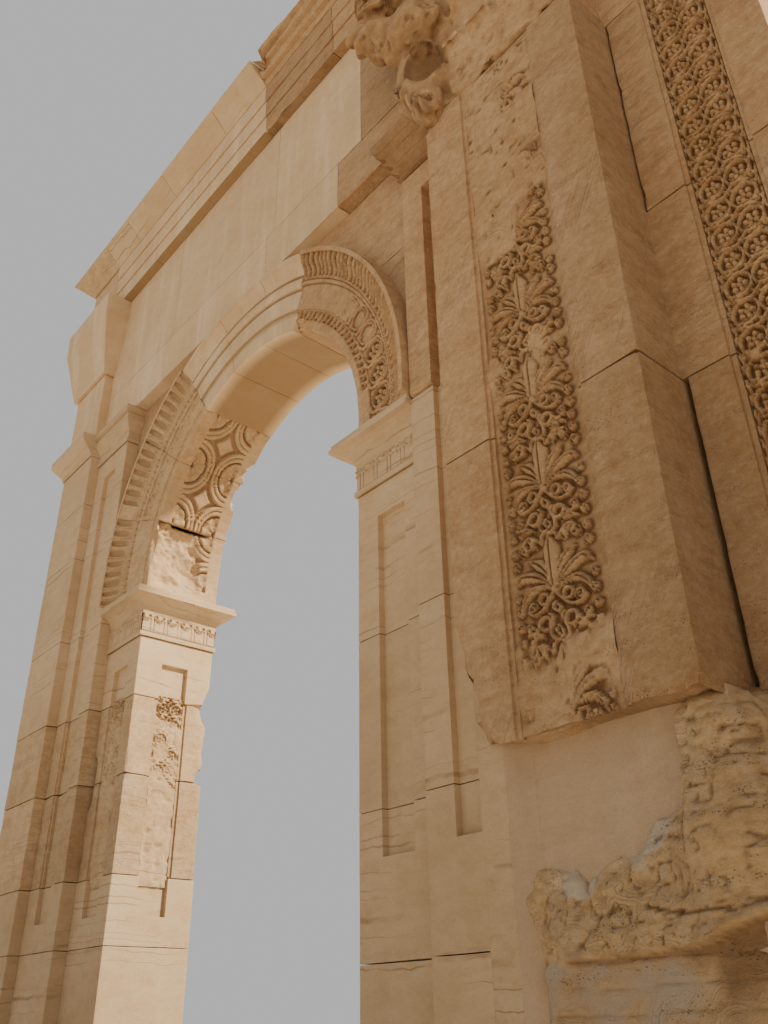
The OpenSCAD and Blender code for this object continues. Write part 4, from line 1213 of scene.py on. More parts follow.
def upper_wall(side, label, step):
    """Wall over the side arch, in two courses."""
    work = Work(f"{label}_upper_wall")
    x, y, z = spans(f"{label}_upper_wall")
    for i, (span, joints) in enumerate(zip(((z[0], UPPER_JOINT_Z), (UPPER_JOINT_Z, z[1])), UPPER_JOINTS)):
        xs = sorted([x[0], x[1]] + [side * j for j in joints])
        for j, (a, b) in enumerate(zip(xs[:-1], xs[1:])):
            kind, slot = SMOOTH_FINISH if side < 0 and (a + b) / 2 < UPPER_NEW_X else OLD_FINISH
            stone(work.shape(slot), (a + GAP / 2 * (j > 0), b - GAP / 2), y,
                  (span[0] + GAP * (i > 0), span[1]), kind, step, sides=(1, 3, 2, 3),
                  seed=name_seed(label) + 9 * i + 5 * j, bites=UPPER_WALL_BITES if side < 0 else ())
    work.build()


ARCHITRAVE_JOINTS = (7.25, 8.49, 9.75, 11.05, END_JOINT)
CROWN_JOINTS = (6.95, 8.49, 9.35, 10.60, 11.60, END_JOINT)
ARCHITRAVE_BITES = [((-8.38, -1.24, 10.36), (0.16, 0.06, 0.05)),
                    ((-7.85, -1.24, 10.36), (0.24, 0.05, 0.05)),
                    ((-6.35, -1.25, 10.42), (0.45, 0.14, 0.20))]
CROWN_BITES = [((-8.40, -1.50, 11.24), (0.14, 0.14, 0.16)), ((-7.60, -1.52, 11.40), (0.5, 0.06, 0.05)),
               ((-6.85, -1.54, 11.38), (0.25, 0.09, 0.10)), ((-6.2, -1.54, 11.36), (0.30, 0.10, 0.14)),
               ((-13.28, -1.50, 11.12), (0.10, 0.10, 0.05))]


def entablature(side, label, step):
    """Architrave and crown of a side bay."""
    x = on_side((X_INNER_FRAME, X_END), side)
    z0 = spans(f"{label}_architrave")[2][0]
    for part, z, profile, joints, finish, grid, bites in (
            ("architrave", z0, FASCIAE, ARCHITRAVE_JOINTS, bay_finish(side), step, ARCHITRAVE_BITES),
            ("crown", z0 + FASCIAE_H, CROWN, CROWN_JOINTS, bay_finish(side, NEW_FINISH), step * 0.8,
             CROWN_BITES)):
        row(f"{label}_{part}", x, CORNER_Y, z, profile, [side * j for j in joints], finish, grid,
            end_flags(facing(side)[1]), bites=bites if side < 0 else ())


# Stones of the photographed arch as (start, end, kind, bands, wear); angles rise from its right foot
PHOTO_ARCH = (
    (-ARCH_STILT - 0.01, 0.39, OLD, worn_bands, -0.75), (0.39, 0.75, OLD, worn_bands, -0.70),
    (0.75, 1.11, OLD, worn_bands, -0.60),
    (1.11, 1.42, NEW, None, 0), (1.42, 1.74, NEW, None, 0), (1.74, 2.06, NEW, None, 0),
    (2.06, 2.43, OLD, tongue_bands, -0.25), (2.43, 2.81, OLD, tongue_bands, -0.55),
    (2.81, math.pi + ARCH_STILT, OLD, tongue_bands, -0.45),
)
# Look of each band there: grid step, coarser steps, finish
BAND_LOOKS = {None: (0.07, (1, 2, 2), "smooth_stone"),
              tongue_bands: (0.0100, (1, 1.6, 9), "pale_carved_stone"),
              worn_bands: (0.0094, (1, 9, 9), "carved_stone")}
# Grid of the right ring, and how far a ring's top runs up into the wall over it
RIGHT_RING_STEP, RING_LAP = 0.034, 0.012
# One cell of the carved soffit, its margin and its depth, and where a cell of the photographed one begins
SOFFIT_PITCH, SOFFIT_MARGIN, SOFFIT_DEPTH, SOFFIT_START = 0.645, 0.15, 0.042, -2.11 + 0.21
SOFFIT_BITES = [((-10.62, -0.99, 6.00), (0.05, 0.06, 0.30)), ((-10.36, -0.13, 6.84), (0.16, 0.10, 0.16)),
                ((-10.16, -0.12, 7.06), (0.16, 0.09, 0.12)), ((-10.5, -0.12, 6.42), (0.08, 0.05, 0.08))]
RING_BITES = [((-7.55, -1.13, 7.35), (0.06, 0.08, 0.10)), ((-8.12, -1.02, 7.36), (0.16, 0.10, 0.07)),
              ((-7.95, -1.00, 7.24), (0.12, 0.06, 0.06))]


def side_arch(side, label):
    """Moulded ring of a side arch, stone by stone."""
    y, r0 = JAMB_Y, abs(X_PASSAGE - X_ARCH)
    centre = (side * X_ARCH, SIDE_SPRING + ARCH_STILT)
    work = Work(f"{label}_side_arch")
    cells = (math.pi * r0 + SOFFIT_START, SOFFIT_PITCH, (y[0] + SOFFIT_MARGIN, y[1] - SOFFIT_MARGIN),
             SOFFIT_DEPTH)
    top = spans(f"{label}_upper_wall")[2][0] + RING_LAP
    if side < 0:
        for i, (e0, e1, kind, bands, wear) in enumerate(PHOTO_ARCH):
            grid, steps, slot = BAND_LOOKS[bands]
            voussoir(work.shape(slot), centre, y, r0, RING_W, e0, e1, kind, grid, 60 + i, bands,
                     cells if bands is tongue_bands else None, SOFFIT_BITES + RING_BITES if bands else (),
                     steps, wear, lost_front if i == len(PHOTO_ARCH) - 1 else None, top)
    else:
        ends = [-ARCH_STILT, *np.linspace(0.16, math.pi - 0.16, 8), math.pi + ARCH_STILT]
        for i, (e0, e1) in enumerate(zip(ends[:-1], ends[1:])):
            voussoir(work.shape("carved_stone"), centre, y, r0, RING_W, e0, e1, OLD, RIGHT_RING_STEP,
                     80 + i, carved_bands, cells, wear=-0.45, top=top)
    work.build()


def spandrel_courses(name, label, centre, radius, x_edge, y, joints, step):
    """Wall fields on both sides of an arch, in courses cut off along its ring."""
    work, z = Work(name), spans(name)[2]
    heights = [z[0], *joints, z[1] - 0.001]
    for i, span in enumerate(zip(heights[:-1], heights[1:])):
        for j, sign in enumerate((-1, 1)):
            def near(h, sign=sign):
                rise = np.maximum(h - centre[1], 0)
                return centre[0] + sign * np.sqrt(np.maximum(radius ** 2 - rise ** 2, 0))

            def far(h, sign=sign):
                return np.full(h.shape, centre[0] + sign * x_edge)

            ends = (far, near) if sign < 0 else (near, far)
            for face, level, coarse in ((FRONT, y[0] + 0.002, 1), (BACK, y[1] - 0.002, 2)):
                wall_stone(work.shape("old_stone"), *ends, span, level, face, OLD, step * coarse,
                           name_seed(label) + 11 * i + 5 * j)
    work.build()


# How far the edge of a ring stays within the frame, and how far the wall fields run in under it
RING_INSET, UNDER_RING = 0.02, 0.03


def spandrels(side, label, step):
    x_edge = X_OUTER_FRAME - X_ARCH
    spandrel_courses(f"{label}_spandrels", label, (side * X_ARCH, SIDE_SPRING + ARCH_STILT),
                     x_edge - RING_INSET - UNDER_RING, x_edge, JAMB_Y, SPANDREL_JOINTS, step)


# Middle of the arch
GIANT_BITES = [((-6.06, -1.26, 2.95), (0.22, 0.26, 0.50)), ((-5.90, -1.26, 2.80), (0.16, 0.20, 0.16)),
               ((-6.02, -1.25, 3.35), (0.09, 0.14, 0.30)), ((-6.02, -1.26, 7.93), (0.08, 0.09, 0.12)),
               ((-4.47, -1.25, 4.69), (0.07, 0.06, 0.05)), ((-4.47, -1.25, 2.84), (0.10, 0.08, 0.05)),
               ((-5.0, -1.25, 2.84), (0.30, 0.05, 0.03)), ((-4.80, -1.25, 7.98), (0.22, 0.07, 0.05)),
               ((-5.55, -1.25, 4.70), (0.12, 0.02, 0.02))]
# How far a carved strip stands out from the ground of its panel, and its grid's lift off it
STRIP_H, STRIP_LIFT = 0.043, 0.001
# Edge and top of the restored stone beside the broken foot, and how wide the plaster's slope is
FILLER_X, FILLER_TOP, FILLER_SLOPE = -5.795, 3.72, 0.16


def strip(name, side, across, face, z, feature, step, height=STRIP_H, **more):
    """Carving on the ground of a sunk panel."""
    relief(name, side, across, face - SIDE_OUT[side].sum() * (PANEL_DEPTH - STRIP_LIFT), z, height, feature,
           step, **more)


def giant_pilaster(side, label, step):
    """A giant pilaster with its strip of leaves; the left one stands back at its broken foot."""
    name = f"{label}_giant_pilaster"
    x, y, z = spans(name)
    zs = (PANEL_Z, z[1] - PANEL_STEP_W)
    panels = face_panels(x, zs, GIANT_PANEL_W)
    if side > 0:
        pillar(name, GIANT_JOINTS, panels, step, [OLD_FINISH], FRAME_SIDES).build()
    else:
        upper = pillar(name, GIANT_JOINTS[2:3], panels, step * 0.8, [OLD_FINISH], (1, 1.5, 3, 4),
                       GIANT_BITES, box=(x, y, (BREAK_Z, z[1])), foot=0.045, lean=0.4)
        top = BREAK_Z + 0.06
        lower = pillar(name, GIANT_JOINTS[:1], [panels[1]], step, [(NEW, "plaster")], (0.5, 1, 2, 3),
                       box=(x, (y[0] + BREAK_DEPTH, y[1]), (z[0], top)))
        front, back = FRAME_Y[0] + OLD_LEDGE + 0.002, y[0] + BREAK_DEPTH
        stone(lower.shape("restored_stone"), (-X_INNER_FRAME - 0.01, FILLER_X), (front, FRAME_Y[0] + 0.2),
              (z[0], FILLER_TOP), NEW, step, seed=12)
        share = np.linspace(0, 1, 9)
        xx, zz = np.meshgrid(FILLER_X - 0.001 + FILLER_SLOPE * share, np.linspace(z[0], top, 12))
        yy = front + (back - front) * ramp(share, 0, 1) + 0 * xx
        lower.shape("plaster").add(np.stack([xx, yy, zz], -1), 0.5)
        upper.build()
        for slot, shape in lower.shapes.items():
            shape.build(f"{name}_foot_{slot}", slot, [name])
    across = centred(x, GIANT_PANEL_W)
    low, feature, grid, fine = (BREAK_Z + 0.02, worn_strip, 0.0073, (3.4, 6.5)) if side < 0 else (
        zs[0], whole_strip, 0.024, None)
    strip(f"{label}_strip_of_leaves", FRONT, across, y[0], (low, zs[1]), feature, grid, fine=fine)
    strip(f"{label}_strip_of_leaves_back", BACK, across, y[1], zs, whole_strip, 0.030)


# How far each course of the left central jamb runs into the giant pilaster beside it
JAMB_REACH = (0.02, -0.022, 0.04, 0, 0.03)


def central_jamb(side, label, step):
    """Jamb of the central passage with its strips of flowers."""
    x, y, z = spans(f"{label}_central_jamb")
    zs = (PANEL_Z, z[1] - PANEL_TOP)
    inner = facing(side)[0]
    panels = face_panels(x, zs, CENTRAL_PANEL_W) + [(inner, (*centred(y, GIANT_PANEL_W), *zs))]
    sides = [1, 1, 2, 1]
    sides[(inner + 2) % 4] = 0
    pillar(f"{label}_central_jamb", GIANT_JOINTS[1:], panels, step, [OLD_FINISH], sides,
           reach=JAMB_REACH if side < 0 else ()).build()
    across = centred(x, CENTRAL_PANEL_W)
    grid, fine = (0.0080, (4.7, 7.4)) if side < 0 else (0.022, None)
    strip(f"{label}_strip_of_flowers", FRONT, across, y[0], zs, vine_strip, grid, fine=fine)
    strip(f"{label}_strip_of_flowers_back", BACK, across, y[1], zs, vine_strip, 0.026)
    strip(f"{label}_strip_of_leaves_inside", inner, centred(y, GIANT_PANEL_W), x[inner == PLUS_X], zs,
          whole_strip, 0.028)


def central_imposts(step):
    work, carving = Work("central_imposts"), Shape()
    for side in (-1, 1):
        impost(work, carving, f"central_impost_{side}", on_side((X_JAMB, X_GIANT), side), CENTRAL_Y,
               CENTRAL_SPRING, facing(side)[0], OLD_FINISH, step * 0.8, (0.028, 0.028), 0.0025)
    carving.build("central_impost_eggs", "carved_stone")
    work.build()


# Cells of the central soffit as (start, pitch, span across, depth)
CENTRAL_CELLS = (0.0, 1.01, (CENTRAL_Y[0] + 0.25, CENTRAL_Y[1] - 0.25), 0.052)
# Grids of the central ring and its wall fields, and how far in these begin under the ring
CENTRAL_RING_STEP, CENTRAL_WALL_STEP, CENTRAL_WALL_INSET = 0.052, 0.14, 0.032
CENTRAL_WALL_JOINTS = (10.5, 11.4, 12.2, 13.0, 13.8, 14.39)


def central_arch():
    """Moulded ring of the central arch and its wall fields."""
    centre, r0, width = (0.0, CENTRAL_SPRING + ARCH_STILT), X_JAMB, X_GIANT - X_JAMB - RING_INSET
    work = Work("central_arch")
    ends = [-ARCH_STILT, *np.linspace(0.10, math.pi - 0.10, 14), math.pi + ARCH_STILT]
    for i, (e0, e1) in enumerate(zip(ends[:-1], ends[1:])):
        voussoir(work.shape("carved_stone"), centre, CENTRAL_Y, r0, width, e0, e1, OLD, CENTRAL_RING_STEP,
                 100 + i, carved_bands, CENTRAL_CELLS, wear=-0.4)
    work.build()
    spandrel_courses("central_spandrels", "central", centre, X_GIANT - CENTRAL_WALL_INSET, X_GIANT,
                     CENTRAL_Y, CENTRAL_WALL_JOINTS, CENTRAL_WALL_STEP)


ATTIC_JOINTS = (12.15, 12.95, 13.75)
CENTRAL_ARCHITRAVE_JOINTS = (-4.55, -3.1, -1.5, 0.05, 1.62, 3.0, 4.5)
CENTRAL_CROWN_JOINTS = (-4.9, -3.6, -2.2, -0.7, 0.9, 2.4, 3.9)


def attic(step):
    """Pilasters, architrave and crown over the central arch, and the blocks over the giant capitals."""
    blocks, pilasters = Work("giant_entablatures"), Work("attic_pilasters")
    _, attic_y, attic_z = spans("attic_pilasters")
    block_top = spans("left_architrave")[2][0]
    old = everywhere(OLD_FINISH)
    for side in (-1, 1):
        x = on_side((X_GIANT, X_INNER_FRAME), side)
        stone(blocks.shape("old_stone"), x, BLOCK_Y, (CENTRAL_SPRING, block_top - GAP), WORN, step,
              seed=31 + side)
        row(f"block_fasciae_{side}", x, BLOCK_Y, block_top, FASCIAE, (), old, step, work=blocks)
        row(f"block_crown_{side}", x, BLOCK_Y, block_top + FASCIAE_H, CROWN, (), old, step, work=blocks)
        for i, span in enumerate(courses(attic_z, ATTIC_JOINTS)):
            stone(pilasters.shape("old_stone"), x, attic_y, span, OLD, step, seed=41 + 3 * i + side)
    blocks.build()
    pilasters.build()
    for name, profile, joints in (("central_architrave", FASCIAE, CENTRAL_ARCHITRAVE_JOINTS),
                                  ("central_crown", CROWN, CENTRAL_CROWN_JOINTS)):
        row(name, (-X_INNER_FRAME, X_INNER_FRAME), BLOCK_Y, spans(name)[2][0], profile, joints, old, step,
            (1, 1))


def plinths(step):
    """Plain plinths under the piers."""
    work, grow = Work("pier_plinths"), PLINTH_PROUD
    top = spans("pier_plinths")[2][1]
    xs = (X_JAMB, X_GIANT, X_INNER_FRAME, X_INNER_JAMB, X_PASSAGE, X_OUTER_JAMB, X_OUTER_FRAME, X_CORNER,
          X_END)
    ys = (CENTRAL_Y, BLOCK_Y, FRAME_Y, JAMB_Y, None, JAMB_Y, FRAME_Y, CORNER_Y)
    plans = [(x, y) for *x, y in zip(xs[:-1], xs[1:], ys) if y]
    for side in (-1, 1):
        for i, (x, y) in enumerate(plans):
            x = on_side(x, side)
            stone(work.shape("restored_stone"), (x[0] - grow, x[1] + grow), (y[0] - grow, y[1] + grow),
                  (0, top), OLD, step, seed=70 + 3 * i + side)
    work.build()


# Capitals and rock, reworked from even meshes
def made(name, bm, place):
    """An object from a bmesh whose points are moved by place."""
    for vertex in bm.verts:
        vertex.co = place(vertex.co)
    mesh = bpy.data.meshes.new(name)
    bm.to_mesh(mesh)
    bm.free()
    return linked(name, mesh)


def scoop(centre, radii, uneven, seed):
    """An uneven ellipsoid that adds to a capital or cuts a piece out of it."""
    def place(co):
        co = co * (1 + uneven * float(layered(np.array(co), SCOOP_LUMP, 3, seed)))
        return Vector(centre) + Vector([r * c for r, c in zip(radii, co)])

    bm = bmesh.new()
    bmesh.ops.create_icosphere(bm, subdivisions=4 if max(radii) > 0.2 else 3, radius=1.0)
    return made("scoop", bm, place)


def block(low, high):
    """A plain box that keeps one part of a capital in a boolean."""
    bm = bmesh.new()
    bmesh.ops.create_cube(bm, size=1.0)
    return made("block", bm, lambda co: [(a + b) / 2 + (b - a) * c for a, b, c in zip(low, high, co)])


def evaluated(source):
    """The mesh that an object's modifiers make."""
    return bpy.data.meshes.new_from_object(source.evaluated_get(bpy.context.evaluated_depsgraph_get()))


def changed(source, kind, tool):
    """Cuts, keeps or adds a tool's shape."""
    modifier = source.modifiers.new("change", "BOOLEAN")
    modifier.operation, modifier.object = kind, tool
    mesh = evaluated(source)
    source.modifiers.remove(modifier)
    source.data = mesh
    bpy.data.objects.remove(tool)


# Size of the lumps on a scoop, and how uneven one that adds and one that cuts is
SCOOP_LUMP, UNEVEN = 0.55, {"UNION": 0.13, "DIFFERENCE": 0.06}


def remeshed(node, voxel, limits, changes):
    """Part of a node's mesh between two y limits, with its changes made, in small even quads."""
    source = linked("source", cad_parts[node].data.copy())
    for i, (kind, centre, radii) in enumerate(changes):
        changed(source, kind, scoop(centre, radii, UNEVEN[kind], 60 + i))
    low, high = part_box(node)
    box = block((low[0] - 1, limits[0], low[2] - 1), (high[0] + 1, limits[1], high[2] + 1))
    changed(source, "INTERSECT", box)
    modifier = source.modifiers.new("remesh", "REMESH")
    modifier.mode, modifier.voxel_size = "VOXEL", voxel
    mesh = evaluated(source)
    bpy.data.objects.remove(source)
    mesh.materials.clear()
    return mesh


def fetched(items, field, width, kind=np.float32):
    """One field of a mesh's vertices, normals or edges, a row each."""
    values = np.empty(len(items) * width, kind)
    items.foreach_get(field, values)
    return values.reshape(-1, width)


def get_points(mesh):
    return fetched(mesh.vertices, "co", 3).astype(float)


def get_normals(mesh):
    return fetched(mesh.vertex_normals, "vector", 3).astype(float)


def set_points(mesh, co):
    mesh.vertices.foreach_set("co", co.astype(np.float32).ravel())
    mesh.update()


def neighbour_mean(values, edges):
    total, count = np.zeros(values.shape), np.zeros(len(values))
    for a, b in ((0, 1), (1, 0)):
        np.add.at(total, edges[:, a], values[edges[:, b]])
        np.add.at(count, edges[:, a], 1)
    return total / np.maximum(count, 1)[:, None]


def weathered(mesh, smooth, rough, seed, shape_change):
    """Softens a mesh's edges, changes its shape and roughens it; returns how hollow each point lies, for
    painted shade.
    """
    edges = fetched(mesh.edges, "vertices", 2, np.int32)
    co = get_points(mesh)
    for _ in range(smooth):
        co = co * 0.5 + neighbour_mean(co, edges) * 0.5
    set_points(mesh, co)
    co = shape_change(co, get_normals(mesh))
    set_points(mesh, co)
    normals = get_normals(mesh)
    co = co - normals * (rough * (0.5 + layered(co, 0.20, 4, seed)))[:, None]
    pits = ramp(layered(co, 0.090, 3, seed + 9), 0.45, 1.0)
    co = co - normals * (rough * 2.0 * pits)[:, None]
    # painted shade in the concave places
    hollow = ((neighbour_mean(co, edges) - co) * normals).sum(1)
    for _ in range(3):
        hollow = neighbour_mean(hollow[:, None], edges)[:, 0]
    set_points(mesh, co)
    mesh.polygons.foreach_set("use_smooth", np.ones(len(mesh.polygons), bool))
    return hollow


# Veins of a capital's leaves, and the lines and beads round its abacus, as sizes and depths
RIB_DEPTH, RIBS_PER_LEAF, LEAVES = 0.016, 5, 5
ABACUS_LINE, ABACUS_BEAD, LINE_DEPTH, BEAD_DEPTH = 0.058, 0.075, 0.010, 0.012


def capital_ribs(co, normals, z, x):
    """Cuts veins into the leaves of a giant capital."""
    leaf_x = ((co[:, 0] - x[0]) / ((x[1] - x[0]) / LEAVES)) % 1.0
    leafy = ramp(co[:, 2], z[0] + 0.05, z[0] + 0.15) * (1 - ramp(co[:, 2], z[1] - 0.55, z[1] - 0.42))
    rib = 0.5 - 0.5 * np.cos(leaf_x * 2 * math.pi * RIBS_PER_LEAF)
    return abacus_lines(co - normals * (RIB_DEPTH * rib * leafy)[:, None], normals, z[1])


def abacus_lines(co, normals, high):
    """Cuts mouldings and beads round the abacus of a giant capital."""
    moulding = ramp(co[:, 2], high - 0.30, high - 0.27)
    line = 0.5 - 0.5 * np.cos((high - co[:, 2]) / ABACUS_LINE * 2 * math.pi)
    beads = 0.5 + 0.5 * np.cos((co[:, 0] + co[:, 1]) / ABACUS_BEAD * 2 * math.pi)
    return co - normals * ((LINE_DEPTH * line + BEAD_DEPTH * line * beads) * moulding)[:, None]


# Lumps and bites of the left capital, as (kind, centre, radii): the mass of the corner leaf, the worn front
# beside it, its foot, its hood and curled tip, the bowl under the hood, the lobes and slits along its lower
# edge, and what is broken off
BOWL = ((-5.785, -1.43, 8.43), (0.20, 0.23, 0.24))
LEFT_CHANGES = [("UNION", *lump) for lump in (
    ((-5.92, -1.24, 8.40), (0.28, 0.21, 0.46)), ((-5.45, -1.18, 8.42), (0.44, 0.13, 0.52)),
    ((-5.86, -1.27, 8.02), (0.16, 0.14, 0.20)), ((-5.88, -1.40, 8.88), (0.33, 0.21, 0.22)),
    ((-6.10, -1.46, 8.98), (0.27, 0.17, 0.15)), ((-6.25, -1.53, 9.11), (0.22, 0.13, 0.11)),
    ((-6.38, -1.59, 9.23), (0.14, 0.08, 0.08)))]
LEFT_CHANGES += [("DIFFERENCE", *BOWL)]
LOBES = ((-6.09, 8.29), (-6.02, 8.17), (-5.95, 8.06), (-5.88, 7.97), (-5.81, 7.90))
LEFT_CHANGES += [("UNION", (x, -1.385, z), (0.027, 0.075, 0.12)) for x, z in LOBES]
LEFT_CHANGES += [("DIFFERENCE", (x + 0.035, -1.42, z - 0.01), (0.018, 0.12, 0.10)) for x, z in LOBES]
LEFT_CHANGES += [("DIFFERENCE", (x, -1.35, z), (0.018, 0.09, 0.050)) for x, z in (
    (-5.53, 8.40), (-5.52, 8.27), (-5.60, 8.10), (-5.44, 8.12))]
LEFT_CHANGES += [("DIFFERENCE", *bite) for bite in (
    ((-5.50, -1.68, 8.98), (0.20, 0.30, 0.34)), ((-5.10, -1.62, 9.25), (0.50, 0.42, 0.40)),
    ((-4.75, -1.50, 8.75), (0.40, 0.30, 0.60)), ((-4.55, -1.70, 9.62), (0.50, 0.50, 0.30)))]


def ruined_front(co, normals, z, x):
    """The front of the left capital: whole at its outer corner, worn flat towards the passage."""
    co = abacus_lines(co, normals, z[1])
    share = ramp(co[:, 0], x[0] + 0.45, x[1] - 0.25)
    uneven = layered(co * (1, 0, 1), 0.30, 4, 63)
    allowed = 0.60 - 0.58 * share + 0.05 * uneven + 0.10 * ramp(co[:, 2], z[1] - 0.5, z[1])
    co[:, 1] = np.maximum(co[:, 1], BLOCK_Y[0] - np.maximum(allowed, 0.004))
    return co


# Where the left capital's fine front ends, and the quads of its front, its back and the right capital
FINE_Y, FRONT_QUAD, BACK_QUAD, RIGHT_QUAD = -0.75, 0.0156, 0.055, 0.046


def giant_capital(side, label):
    """A giant capital; the left one is a ruin, finer in front than behind."""
    name = f"{label}_giant_capital"
    x = spans(f"{label}_giant_pilaster")[0]
    pieces = (((-9.0, FINE_Y), FRONT_QUAD, LEFT_CHANGES), ((FINE_Y, 9.0), BACK_QUAD, ())) if side < 0 else (
        ((-9.0, 9.0), RIGHT_QUAD, ()),)
    for i, (limits, voxel, changes) in enumerate(pieces):
        mesh = remeshed(name, voxel, limits, changes)
        smooth, rough, change = (1, 0.014, ruined_front) if changes else (2, 0.008, capital_ribs)
        hollow = weathered(mesh, smooth, rough, 71,
                           lambda co, normals: change(co, normals, spans(name)[2], x))
        # painted shade on the undersides and in the bowl under the hood, and darker towards the outer corner
        capital_shade = 0.50 * ramp(-get_normals(mesh)[:, 2], 0.0, 0.9)
        if changes:
            from_bowl = np.linalg.norm((get_points(mesh) - BOWL[0]) / BOWL[1], axis=1)
            outer = 1 - ramp(get_points(mesh)[:, 0], -5.75, -5.35)
            capital_shade = 0.30 * capital_shade + 0.30 * outer + 0.40 * (1 - ramp(from_bowl, 1.0, 1.2))
        finished(mesh, f"{name}_carved_{i}", "carved_stone", [name], np.full(len(hollow), 0.5),
                 np.clip(hollow * 200 + capital_shade, 0, 1))


# The eroded stone's top, its ledge and the crack over it, as (x, z), and its left edge, as (z, x)
ROCK_TOP = ((-5.90, 2.24), (-5.45, 2.22), (-5.37, 2.16), (-5.22, 2.27), (-5.07, 2.25), (-4.98, 2.34),
            (-4.84, 2.40), (-4.78, 2.52), (-4.75, 2.86), (-4.40, 2.88), (-4.00, 2.84), (-3.50, 2.60))
ROCK_LEDGE = ((-5.9, 1.815), (-5.0, 1.845), (-4.76, 1.86), (-4.60, 1.91), (-4.44, 1.98), (-4.2, 2.0),
              (-3.5, 1.9))
ROCK_CRACK = ((-5.10, 2.03), (-4.95, 1.995), (-4.72, 1.985), (-4.60, 1.96), (-4.46, 2.03), (-4.2, 2.2))
ROCK_LEFT = ((1.72, -5.70), (1.95, -5.735), (2.12, -5.77), (2.37, -5.81))
# How far it stands out, by depth below its top, and under its ledge
ROCK_SWELL = ((-0.05, -0.060), (0.0, -0.010), (0.02, 0.014), (0.08, 0.034), (0.20, 0.052), (0.36, 0.078),
              (0.60, 0.095))
UNDER_LEDGE, BED_LINES = 0.034, 0.105
# Heights of its grid, coarse and fine, and where it has died away in the passage
ROCK_Z, ROCK_END = (0.6, 1.5, 2.92), -3.505


def along_table(x, table):
    return np.interp(x, *zip(*table))


def rock_plan():
    """Points along the rock's foot, which turns the pilaster's corner and runs on along the jamb, and its
    outward normals."""
    back, jamb = BLOCK_Y[0] + BREAK_DEPTH, CENTRAL_Y[0]
    plan = curve([(-5.90, back), (-5.2, back), (-4.60, back), (-4.50, back + 0.07), (-4.46, jamb - 0.05),
                  (-4.36, jamb), (-4.0, jamb), (ROCK_END, jamb)], 30)
    length = np.concatenate([[0], np.cumsum(np.linalg.norm(np.diff(plan, axis=0), axis=1))])
    s = np.linspace(0, length[-1], round(length[-1] / ROCK_STEP))
    x, y = np.interp(s, length, plan[:, 0]), np.interp(s, length, plan[:, 1])
    tangent = np.stack([np.gradient(x), np.gradient(y)], -1)
    for _ in range(30):
        tangent[1:-1] = (tangent[:-2] + tangent[1:-1] + tangent[2:]) / 3
    tangent /= np.linalg.norm(tangent, axis=1, keepdims=True)
    return x, y, np.stack([tangent[:, 1], -tangent[:, 0], 0 * x], -1)


def eroded_foot():
    """Rough rock that fills the broken foot of the left giant pilaster."""
    x, y, out = rock_plan()
    low, fine, top = ROCK_Z
    zs = np.unique(np.concatenate([np.arange(low, fine, 0.05), np.arange(fine, top, ROCK_STEP)]))
    xx, zz = np.meshgrid(x, zs)
    p = np.stack([xx, np.broadcast_to(y, xx.shape), zz], -1)
    ragged = 0.032 * layered(p, 0.12, 5, 81)
    below = along_table(xx, ROCK_TOP) + ragged - zz
    from_left = xx - along_table(zz, ROCK_LEFT) + 0.5 * ragged
    right = ramp(xx, -4.9, -4.6)
    swell = along_table(below, ROCK_SWELL) * (1 + 0.55 * right * (1 - 1.3 * ramp(xx, -4.42, -4.1)))
    ledge = zz - along_table(xx, ROCK_LEDGE) - 0.4 * ragged
    above = ramp(ledge, -0.012, 0.012)
    cave = ramp(xx, -4.88, -4.70) * ramp(ledge, -0.34, -0.12)
    swell = (above * swell * (0.35 + 0.65 * ramp(from_left, 0, 0.45))
             + (1 - above) * (UNDER_LEDGE - 0.026 * cave))
    lumps = 0.026 * layered(p * (1, 1, 1.3), 0.26, 5, 83) + 0.007 * layered(p, 0.05, 2, 84)
    crease = sum(1 - ramp(np.abs(noise(p * (1, 1, 1.5), size, seed)), 0.0, 0.13)
                 for size, seed in ((0.13, 85), (0.07, 87)))
    crack = ridge(zz - along_table(xx, ROCK_CRACK) - 0.3 * ragged, 0.011) * ramp(xx, -5.10, -5.0)
    rough = above * (lumps - 0.011 * crease - 0.016 * crack) * ramp(below, -0.02, 0.08)
    from_bed = repeat(zz + 0.030 * layered(p * (1, 1, 0.5), 0.5, 3, 89), BED_LINES)
    beds = ridge(from_bed, 0.007) * 0.007 * (1 - above)
    depth = swell + rough - beds + (1 - above) * 0.006 * layered(p, 0.16, 4, 93)
    depth = depth * ramp(from_left, 0, 0.05) - 0.05 * (1 - ramp(from_left, -0.02, 0.01))
    depth = np.where((xx > -4.44) & (below > 0.02), np.maximum(depth, 0.012), depth)
    depth = depth * (1 - ramp(xx, -3.80, -3.56)) - 0.04 * ramp(xx, -3.62, -3.52)
    p = p + out[None] * depth[..., None]
    p[..., 1] = np.maximum(p[..., 1], BLOCK_Y[0] - 0.05)
    rim = (1 - ramp(below + 0.03 * layered(p, 0.10, 3, 97), 0.07, 0.16)) * (1 - 0.6 * right)
    patch = ramp(layered(p, 0.30, 3, 91), 0.42, 0.75)
    tone = (0.40 + 0.35 * layered(p, 0.25, 3, 95) + above * np.maximum(0.55 * rim, 0.42 * patch)
            + 0.45 * (1 - above))
    # painted shade in the rock's recesses and in the cave under the ledge, a dark crack line, and the stone
    # under the ledge darker
    hollow = np.clip(0.9 * recess_shade(depth, 3) + 0.35 * crack * above + cave * (1 - above), 0, 1)
    shape = Shape()
    shape.add(p, np.clip(tone, 0, 1), np.maximum(hollow, 0.45 * (1 - above)))
    shape.build("left_eroded_foot_rock", "eroded_stone", ["left_eroded_foot"])


WORN_VINE_Z, WORN_VINE_H = (2.72, 4.49), 0.036


